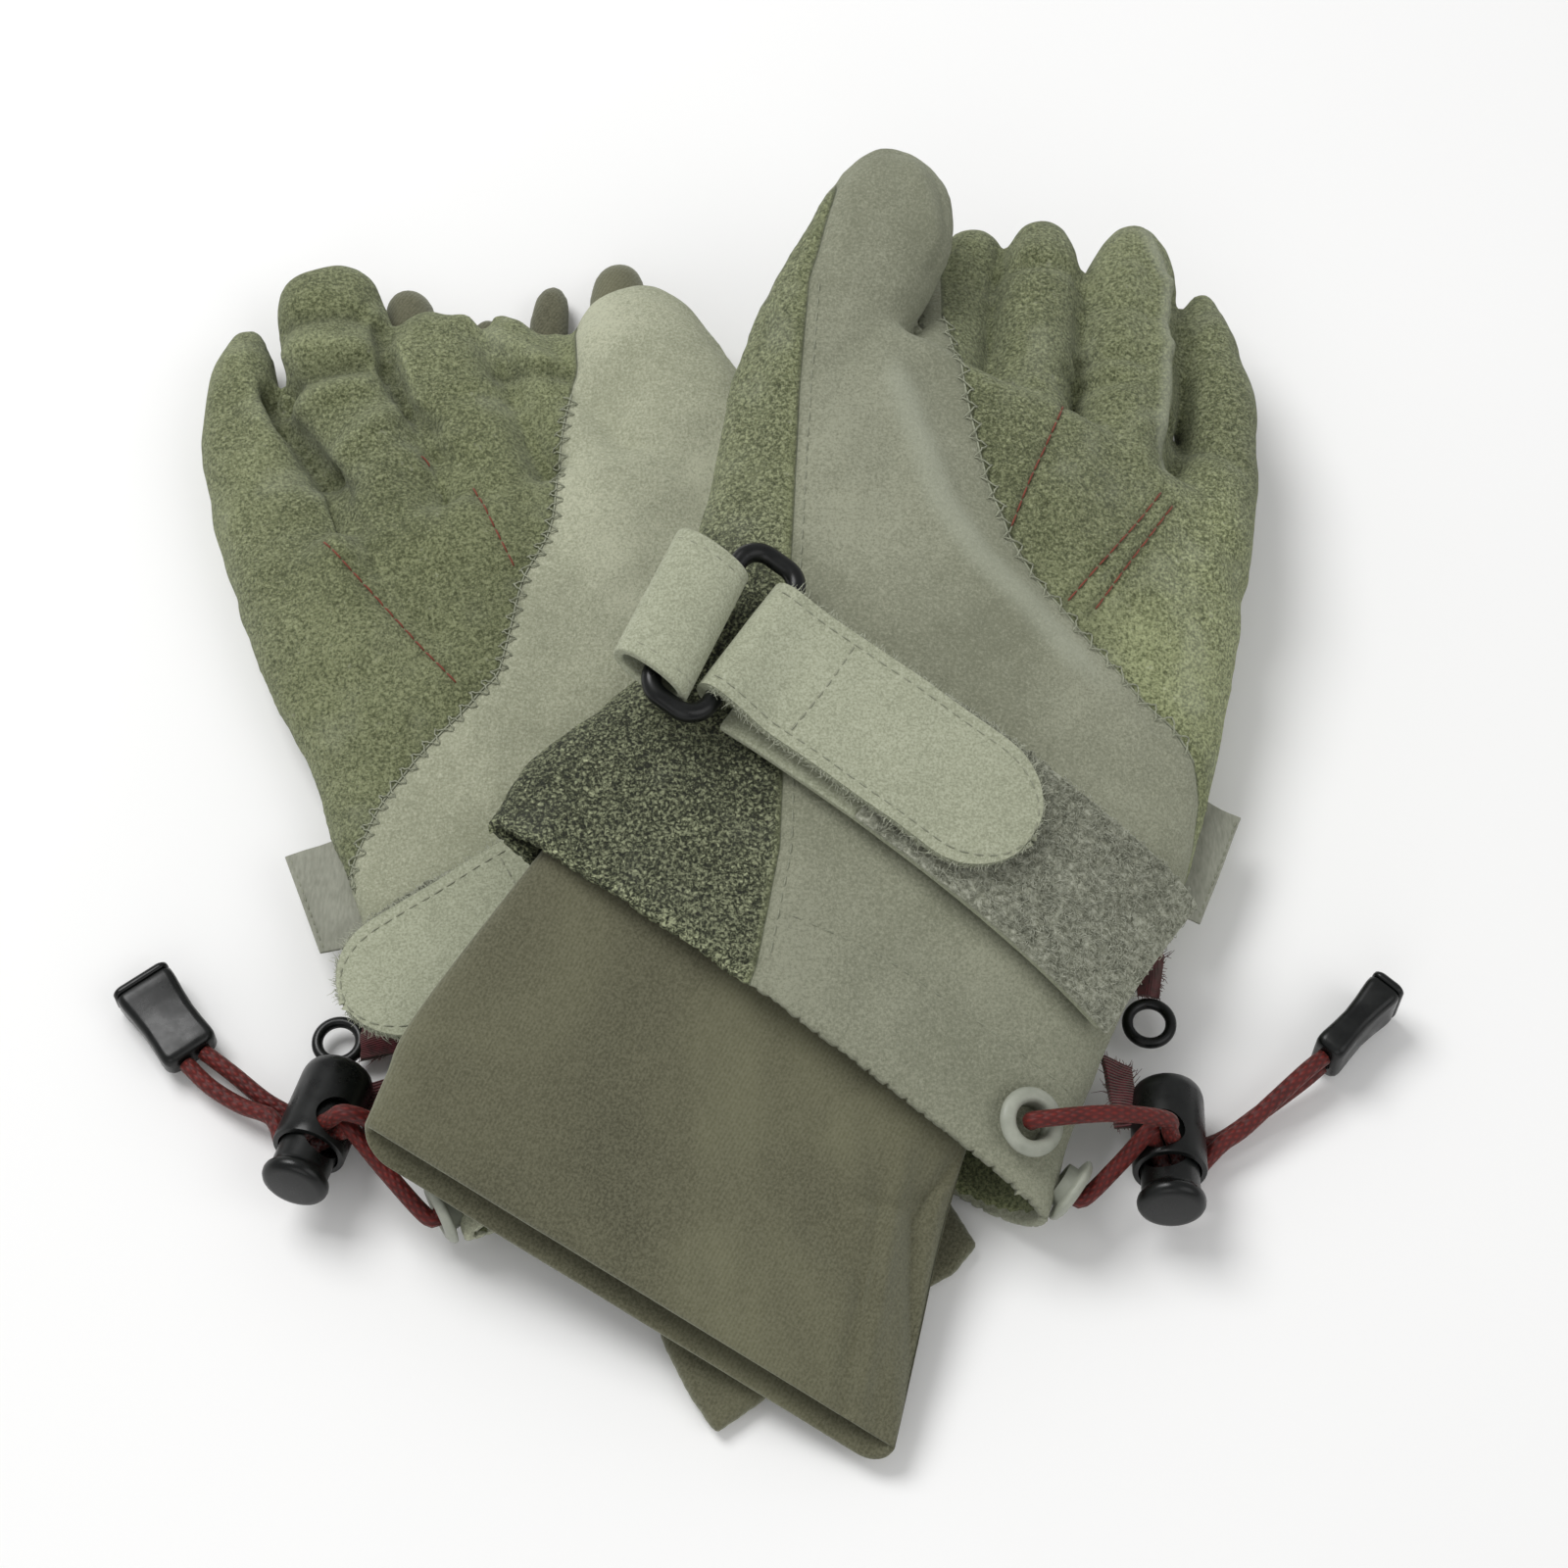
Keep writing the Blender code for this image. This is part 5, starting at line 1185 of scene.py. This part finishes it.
def carve(ob, tools):
    for i, (v, f) in enumerate(tools):
        t = make("tool_%d" % i, v, f, BLACK, "left_glove", smooth=False)
        md = ob.modifiers.new("cut%d" % i, "BOOLEAN")
        md.operation, md.solver, md.object = "DIFFERENCE", "EXACT", t
        bpy.context.view_layer.update()
        dg = bpy.context.evaluated_depsgraph_get()
        me = bpy.data.meshes.new_from_object(ob.evaluated_get(dg))
        ob.modifiers.clear()
        ob.data = me
        bpy.data.objects.remove(t, do_unlink=True)
    bm = bmesh.new()
    bm.from_mesh(ob.data)
    bmesh.ops.recalc_face_normals(bm, faces=bm.faces)
    bm.to_mesh(ob.data)
    bm.free()
    for p in ob.data.polygons:
        p.use_smooth = True
    b = ob.modifiers.new("edge", "BEVEL")
    b.width, b.segments, b.limit_method, b.angle_limit = 0.35 * MM, 2, "ANGLE", math.radians(38)
    b.harden_normals = True
    try:
        ob.data.materials.clear()
    except Exception:
        pass
    ob.data.materials.append(BLACK)


CORD_OBJ = []


def lock_set(side, lock, holes, tail_pts, end_at, body, plunger_body):
    n = side + "_"
    c, heading, pitch, roll, sd = lock
    hole = Vector(c)
    h, p = math.radians(heading), math.radians(pitch)
    axis = Vector((math.cos(h) * math.cos(p), math.sin(h) * math.cos(p), math.sin(p)))
    across = axis.cross(Vector((0, 0, 1))).normalized()
    across = across if across.x * sd > 0 else -across
    up = across.cross(axis)
    up = up if up.z > 0 else -up
    r = math.radians(roll)
    tunnel = (up * math.cos(r) + across * math.sin(r)).normalized()
    m = axes(hole, tunnel, -axis)
    dome = m.col[2].xyz
    rad, top, low = LOCK_D / 2, 14.4, -5.4
    prof = [(rad - 0.5, low), (rad - 0.12, low + 0.12), (rad, low + 0.5), (rad, low + 2.0), (rad, top - 4.0), (rad - 0.08, top - 3.2), (rad - 0.35, top - 2.2),
            (rad - 0.9, top - 1.3), (rad - 1.8, top - 0.6), (rad - 3.2, top - 0.18), (rad - 5.0, top)]
    v, f = lathe(m, prof, 64)
    barrel = make("barrel_" + side, v, f, BLACK, body, (n + "lock_barrel",))
    carve(barrel, [lathe(m, [(LOCK_BORE / 2, low - 2), (LOCK_BORE / 2, top - 2.2)], 48),
                   lathe(axes(hole, dome, tunnel), [(HOLE_D / 2, -12), (HOLE_D / 2, 12)], 48)])
    s0 = 7.0
    v, f = lathe(m, [(4.6, low - 8.35), (5.4, low - 8.2), (6.0, low - 7.8), (6.35, low - 7.2), (6.45, low - 6.5), (6.3, low - 5.9), (5.85, low - 5.45), (5.5, low - 4.9),
                     (STEM_D / 2, low - 4.4), (STEM_D / 2, s0)], 64)
    pl = make("button_" + side, v, f, BLACK, plunger_body, (n + "lock_plunger",))
    carve(pl, [lathe(m, [(STEM_BORE / 2, 0.4), (STEM_BORE / 2, s0 + 3)], 48),
               lathe(axes(hole - dome * STROKE, dome, tunnel), [(HOLE_D / 2, -12), (HOLE_D / 2, 12)], 48)])
    sp = Soup()
    turns, z0, z1 = 5, 1.4, top - 3.2
    sp.tube([tuple(m @ Vector((3.3 * math.cos(2 * math.pi * i / 24), 3.3 * math.sin(2 * math.pi * i / 24), z0 + (z1 - z0) * i / (turns * 24))))
             for i in range(turns * 24 + 1)], 0.45, 8)
    sp.piece("coil_" + side, STEEL, body, replaces=(n + "lock_spring",))

    # cord end: waisted body with ribs and a separate end plate
    (ex, ey, ez), eh, ep, er = end_at
    eh, ep = math.radians(eh), math.radians(ep)
    run = Vector((math.cos(eh) * math.cos(ep), math.sin(eh) * math.cos(ep), math.sin(ep)))
    em = axes(Vector((ex, ey, ez)), Vector((-math.sin(eh), math.cos(eh), 0)), run) @ Matrix.Rotation(math.radians(er), 4, "Z")

    def block(w, d, z, k=1.7):
        pts = []
        for sx, sy, a0 in ((1, 1, 0), (-1, 1, 90), (-1, -1, 180), (1, -1, 270)):
            for q in range(9):
                a = math.radians(a0 + 11.25 * q)
                pts.append(em @ Vector((sx * (w / 2 - k) + k * math.cos(a), sy * (d / 2 - k) + k * math.sin(a), z)))
        return pts
    W, H, LN = 12.0, 7.0, 20.0
    rows = [(W - 3.0, H - 2.6, -0.1), (W - 2.0, H - 1.7, 0.15), (W - 1.0, H - 1.0, 0.8), (W - 0.6, H - 0.8, 1.6), (W - 0.55, H - 0.8, 2.6),
            (W - 0.9, H - 1.2, 5.5), (W - 1.1, H - 1.5, 9.0), (W - 0.7, H - 1.0, 12.5), (W - 0.1, H - 0.2, 15.6), (W, H, 16.6), (W, H, 17.7), (W - 0.4, H - 0.4, 18.1)]
    v, f = loft([block(*r) for r in rows])
    e1 = make("cord_end_" + side + "_body", v, f, BLACK, body, (n + "cord_end",))
    rows = [(W - 0.8, H - 0.8, 18.3), (W - 0.1, H - 0.1, 18.5), (W, H, 18.9), (W - 0.1, H - 0.1, 19.4), (W - 0.8, H - 0.8, 19.8), (W - 2.4, H - 2.2, 20.0)]
    v, f = loft([block(*r) for r in rows])
    e2 = make("cord_end_" + side + "_plate", v, f, BLACK, body, (n + "cord_end_cap",))

    beside = dome.cross(tunnel).normalized()
    lens = hole - dome * (STROKE / 2)
    wide = em.col[0].xyz
    turn = 1.0 if wide.dot(beside) > 0 or abs(wide.dot(beside)) < 0.3 else -1.0
    for tag, sgn, (c0, zz) in (("upper", 1, holes[0]), ("lower", -1, holes[1])):
        o = beside * (CORD_PITCH / 2 * sgn)
        is_far = o.dot(across) < 0
        entry = lens + o + tunnel * (11.8 if is_far else 9.0)
        path = [c0 + zz * 0.5, c0 + zz * 3.2]
        path += [(c0 + zz * 3.2).lerp(entry, 0.55) + Vector((0, 0, 2.6 if is_far else -1.6)), entry]
        path += [lens + o + tunnel * (7.8 if is_far else 7.2), lens + o, lens + o - tunnel * 6.4, lens + o - tunnel * 8.2]
        for i, qq in enumerate(tail_pts):
            t = (i + 1) / len(tail_pts)
            sdir = (beside * (1 - t) + wide * (turn * t)).normalized()
            path.append(Vector(qq) + sdir * ((3.2 if i == 0 else 2.4) * sgn))
        path.append(em @ Vector((2.0 * sgn * turn, 0, -0.4)))
        pts = np.array([tuple(x) for x in cat(path, 10)])
        d = np.r_[0, np.cumsum(np.linalg.norm(np.diff(pts, axis=0), axis=1))]
        s = np.linspace(0, d[-1], int(d[-1] / 0.8))
        pts = np.stack([np.interp(s, d, pts[:, k]) for k in range(3)], 1)
        sides = 20
        sp = Soup()
        rad_c = np.full(len(pts), CORD_D / 2)
        sp.tube(pts, rad_c, sides)
        around = np.tile(np.arange(sides) * 2 * math.pi / sides, len(pts))
        along = np.repeat(s, sides)
        ob = make("cord_%s_%s_look" % (tag, side), np.concatenate(sp.v), sp.f, RED, body, (n + "cord_" + tag,), {"around": around, "along": along})
        CORD_OBJ.append((ob, d[-1]))
    return m, hole, em, across


lock_set("left", ((72.0, -85.0, 10.8), -92.5, 12.0, 18.0, -1), LE, ((79.5, -82.5, 4.2), (85.5, -79.0, 4.2), (92.5, -73.5, 5.0), (99.5, -68.0, 6.2)),
         ((103.4, -64.8, 6.6), 47.0, 0.0, 90.0), "left_glove", "left_lock_plunger")
lock_set("right", ((-87.5, -81.0, 10.8), -104.5, 12.0, 40.0, 1), RE, ((-94.5, -76.5, 4.0), (-101.5, -72.5, 3.8), (-108.0, -67.8, 4.0)),
         ((-113.6, -63.0, 4.4), 127.0, 0.0, 0.0), "right_glove", "right_lock_plunger")


# ------------------------------------------------------------------ labels, tabs, small rings
def quad_grid(a, b, c, d, nu, nv, bow=0.0, curl=0.0):
    """a-b is one edge, d-c the opposite one"""
    a, b, c, d = (np.array(tuple(x), float) for x in (a, b, c, d))
    nn = np.cross(b - a, d - a)
    nn /= np.linalg.norm(nn)
    if nn[2] < 0:
        nn = -nn
    g = []
    for i in range(nu):
        s = i / (nu - 1)
        row = []
        for j in range(nv):
            t = j / (nv - 1)
            p = (a * (1 - t) + b * t) * (1 - s) + (d * (1 - t) + c * t) * s
            p = p + nn * (bow * math.sin(math.pi * t) + curl * s * s + 0.18 * math.sin(9 * t + 4 * s))
            row.append(p)
        g.append(row)
    return np.array(g)


def label(side, sh, body, pts, curl):
    g = quad_grid(*[sh.at(u, v, w) for u, v, w in pts], 22, 30, 0.3, curl)
    plate("label_" + side, g, 0.55, TAPE, body, (side + "_label",), edge=0.15, wob=0.25, seed=8, levels=0)
    sp = Soup()
    # woven border rows, no lettering
    for r in (1.6, 19.4):
        grid_stitches(g, [(r, 1.0), (r, 15), (r, 28.0)], sp, 0.55, length=1.2, gap=0.6, r=0.11, lift=0.0)
    sp.piece("label_stitches_" + side, SEAM_SHADED, body)


label("left", L, "left_glove", [(53.0, 1.5, -0.3), (53.0, 27.0, -0.3), (60.4, 27.0, -0.3), (61.2, 1.5, -0.3)], 0.8)
label("right", R, "right_glove", [(-43.0, 23.0, -0.3), (-43.0, -1.0, -0.3), (-53.4, -1.0, -0.3), (-54.2, 22.0, -0.3)], 1.2)

TABS = {"left_lock_tab": ((60.2, -66.0, 11.0), (62.2, -81.0, 11.0), (66.2, -80.0, 9.6), (66.0, -68.0, 9.6)),
        "left_side_tab": ((68.4, -39.4, 8.0), (73.8, -43.0, 7.4), (72.8, -51.4, 6.0), (68.6, -50.6, 6.0)),
        "right_lock_tab": ((-64.0, -64.0, 3.6), (-60.0, -80.0, 3.6), (-79.4, -83.6, 4.2), (-81.4, -69.4, 4.2)),
        "right_side_tab": ((-70.0, -52.0, 3.4), (-68.0, -60.0, 3.4), (-81.6, -63.6, 3.4), (-82.0, -56.0, 3.4))}
for key, (a, b, c, d) in TABS.items():
    side = key.split("_")[0]
    g = quad_grid(a, b, c, d, 26, 26, 0.5, 0.0)
    ob = plate(key.replace(side + "_", "") + "_" + side, g, 1.3, MAROON, side + "_glove", (key,), edge=0.3, wob=0.4, seed=9, levels=0)
    along = np.tile(np.linspace(0, 26, 26), 26)
    at_ = ob.data.attributes.new("along", "FLOAT", "POINT")
    at_.data.foreach_set("value", along.astype(np.float32))
    sp = Soup()
    for _ in range(90):                                        # frayed ends
        e = rng.integers(0, 4)
        x = rng.random()
        A, B = ((a, b), (b, c), (c, d), (d, a))[e]
        p = np.array(A) * (1 - x) + np.array(B) * x
        out = p - (np.array(a) + np.array(b) + np.array(c) + np.array(d)) / 4
        out /= np.linalg.norm(out)
        if key == "right_lock_tab" and p[0] < -76:             # clear of the lock
            continue
        dr = out + rng.normal(0, 0.6, 3)
        ln = 0.3 + 0.9 * rng.random()
        sp.tube([p, p + dr * ln * 0.5, p + (dr + rng.normal(0, 0.4, 3)) * ln], [0.09, 0.08, 0.04], 3, caps=False)
    sp.piece("fray_" + key, MAROON, side + "_glove")
for key, (c, major, bar) in {"left_side_ring": ((70.6, -56.4, 5.2), 4.2, 2.2), "right_side_ring": ((-86.0, -59.6, 3.6), 4.2, 2.2)}.items():
    side = key.split("_")[0]
    verts, faces = [], []
    for i in range(48):
        a = 2 * math.pi * i / 48
        for j in range(16):
            qa = 2 * math.pi * j / 16
            d = major + bar / 2 * math.cos(qa)
            verts.append(Vector(c) + Vector((d * math.cos(a), d * math.sin(a), bar / 2 * math.sin(qa))))
            faces.append((i * 16 + j, i * 16 + (j + 1) % 16, ((i + 1) % 48) * 16 + (j + 1) % 16, ((i + 1) % 48) * 16 + j))
    make("small_ring_" + side, verts, faces, BLACK, side + "_glove", (key,))


# ------------------------------------------------------------------ knit cuff of the left liner
def liner():
    st = []
    for u0, v0, u1, v1, w, t in [(-54, -30, 34, -34, 0.0, 7.6), (-57, -48, 37, -58, 0.0, 8.4)]:
        st.append((*L.at(u0, v0, w), *L.at(u1, v1, w), t, *L.m.col[2].xyz))
    for a, b, t in [((-67, -68, 35.0), (29, -103, 12.6), 10.2), ((-72.5, -79, 31.0), (24, -124, 9.4), 10.8), ((-76, -87, 28.0), (20, -140.5, 6.6), 8.6)]:
        st.append((*a, *b, t, 0.10, -0.36, 0.93))
    rows = poly_smooth(st, 1.6)
    nr, n = len(rows), 150
    S = np.linspace(0, 1, nr)
    ang = 2 * math.pi * np.arange(n) / n
    outer, inner = np.zeros((nr, n, 3)), np.zeros((nr, n, 3))
    for i, r in enumerate(rows):
        a, b, t, nrm = r[0:3], r[3:6], r[6], r[7:10]
        al = b - a
        ln = np.linalg.norm(al)
        al = al / ln
        nrm = nrm - al * (nrm @ al)
        nrm /= np.linalg.norm(nrm)
        mid, half = (a + b) / 2, ln / 2
        cx = np.array([power(math.cos(q), 0.8) for q in ang])
        sy = np.array([power(math.sin(q), 0.7) for q in ang])
        th = t / 2
        # the top layer lies slack: it sags in the middle and bulges along the right fold
        sag = np.where(sy > 0, -1.1 * np.exp(-((cx + 0.1) / 0.6) ** 2) * S[i] + 1.0 * np.exp(-((cx - 0.86) / 0.10) ** 2) * S[i], 0)
        sag -= np.where(sy > 0, 1.7 * np.exp(-((cx - 0.70 - 0.10 * S[i]) / 0.035) ** 2) * smoothstep(np.array([S[i]]), 0.35, 0.8)[0], 0)
        sag += np.where(sy > 0, 0.8 * np.exp(-((cx + 0.93) / 0.10) ** 2), 0)
        # diagonal drag folds from the right corner
        dfold = cx * 1.0 - (S[i] - 0.55) * 0.9
        sag += np.where(sy > 0, 0.9 * np.exp(-((dfold - 0.62) / 0.06) ** 2) * smoothstep(np.array([S[i]]), 0.25, 0.6)[0], 0)
        sag -= np.where(sy > 0, 1.6 * smoothstep(cx, 0.74 + 0.08 * S[i], 0.84 + 0.08 * S[i]) * smoothstep(np.array([S[i]]), 0.2, 0.6)[0], 0)
        outer[i] = mid + al * (half * cx)[:, None] + nrm * (th * sy + sag)[:, None]
        wall = 1.3
        inner[i] = mid + al * ((half - wall) * cx)[:, None] + nrm * ((th - wall) * sy + sag * (sy > 0))[:, None]
    # the under layer runs out further than the top one
    pipe = rows[-1][0:3] - rows[-6][0:3] + rows[-1][3:6] - rows[-6][3:6]
    pipe /= np.linalg.norm(pipe)
    low_side = smoothstep(-np.sin(ang), -0.15, 0.5)
    reach = (smoothstep(S, 0.35, 1.0) * 4.4)[:, None] * low_side[None, :]
    outer += reach[..., None] * pipe
    inner += reach[..., None] * pipe
    for arr, sd in ((outer, 0),):
        flat = arr.reshape(-1, 3)
        d = fbm(flat, 26, 2, 81) * 0.9 + fbm(flat, 9, 2, 85) * 0.25
        c = arr.mean(axis=1, keepdims=True)
        fade = (0.25 + 0.75 * smoothstep(S, 0.2, 0.6))[:, None]
        topside = smoothstep(np.sin(ang), 0.04, 0.5)[None, :] * np.ones((nr, 1))
        for line, amp, wid in (([(34.0, -87.3), (23.8, -101.0), (23.2, -115), (23.5, -128.7), (21.7, -138.3)], -2.0, 1.1),
                               ([(21.6, -90), (19.2, -102.4), (18.2, -112), (15.7, -121), (13.5, -132)], 1.3, 1.8),
                               ([(28.6, -96), (27.4, -107), (25.6, -122), (23.0, -136)], 1.0, 1.3),
                               ([(14, -99), (20.8, -100.1), (25, -97)], -1.0, 1.3), ([(5, -104), (12, -110), (16, -118)], -0.8, 2.4),
                               ([(-30, -92), (-22, -100), (-18, -106)], -0.6, 2.6), ([(-52, -84), (-44, -92)], 0.6, 3.0)):
            dl = seg_dist(flat[:, :2], line)[0]
            d = d + gaussian(dl, wid) * amp * topside.reshape(-1)
        shift = (d.reshape(nr, n) * fade)[..., None] * np.array([0.05, -0.25, 0.95])
        outer += shift
        inner += shift
    # hem: a stitched channel 7 mm from the mouth and a soft rolled edge
    run = (1 - S) * (nr * 1.6)
    hem = -0.35 * np.exp(-((run - 7.5) / 0.9) ** 2) + 0.30 * np.exp(-(run / 4.0) ** 2)
    c = outer.mean(axis=1, keepdims=True)
    nrm_all = outer - c
    outer += hem[:, None, None] * np.sign(nrm_all[..., 2:3]) * np.array([0, -0.3, 0.95])
    stack = [outer[i] for i in range(nr)]
    dirn = outer[-1] - outer[-2]
    dirn /= np.linalg.norm(dirn, axis=1)[:, None]
    mid_edge = (outer[-1] + inner[-1]) / 2
    stack.append(outer[-1] * 0.8 + inner[-1] * 0.2 + dirn * 0.45)
    stack.append(mid_edge + dirn * 0.65)
    stack.append(outer[-1] * 0.2 + inner[-1] * 0.8 + dirn * 0.45)
    stack += [inner[i] for i in range(nr - 1, -1, -1)]
    k = len(stack)
    verts = np.concatenate(stack)
    faces = [(i * n + j, i * n + (j + 1) % n, (i + 1) * n + (j + 1) % n, (i + 1) * n + j) for i in range(k - 1) for j in range(n)]
    faces += [((k - 1) * n + j, (k - 1) * n + (j + 1) % n, (j + 1) % n, j) for j in range(n)]
    return make("liner_cuff_left", verts, faces, KNIT, "left_glove", ("left_inner_cuff",)), outer


LINER, LOUT = liner()


# ------------------------------------------------------------------ knit inner glove under the right glove
def inner_glove():
    parts = []
    line = [(-12.5, -137.5), (-17.5, -130), (-22.8, -119.5), (-27, -96), (-44, -40), (-62, 20), (-74, 60), (-84, 92), (-57, 94), (-46.8, 96), (-31, 96), (-26, 40),
            (-14, 20), (0, -20), (20, -70), (31, -92), (36.2, -101), (31.5, -107), (8, -121), (-4, -131.5)]
    k = len(line)
    parts.append(([Vector((x, y, 0.1)) for x, y in line] + [Vector((x, y, 4.4)) for x, y in line],
                  [(i, (i + 1) % k, k + (i + 1) % k, k + i) for i in range(k)] + [tuple(range(k))[::-1], tuple(range(k, 2 * k))]))
    for x0, x1, tip, r in ((-80, -83.4, 123.6, 5.6), (-67, -65.6, 117.4, 3.8), (-54, -51.4, 126.4, 4.3), (-39, -36.6, 131.2, 5.9)):
        rr = []
        for t in (0.0, 0.12, 0.24, 0.36, 0.48, 0.6, 0.7, 0.78, 0.84, 0.88, 0.915, 0.945, 0.968, 0.984, 0.994, 1.0):
            y = 78 + (tip - 78) * t
            x = x0 + (x1 - x0) * t
            e = math.sqrt(max(0.02, 1 - max(0, (t - 0.86) / 0.14) ** 2))
            full = r * (0.85 + 0.25 * math.sin(t * 2.6))
            rad = full * e
            rr.append([Vector((x + rad * math.cos(a), y, 0.2 + 0.855 * (full + rad * math.sin(a)))) for a in [2 * math.pi * i / 24 for i in range(24)]])
        parts.append(loft(rr))
    v, f = remeshed("inner", parts, 1.2, 9)
    n = normals(v, f)
    v = v + n * (fbm(v, 12, 2, 91) * 0.35)[:, None]
    v[:, 2] = np.maximum(v[:, 2], 0.05)
    return make("knit_glove_right", v, f, KNIT, "right_inner_glove", ("right_inner_glove",))


inner_glove()
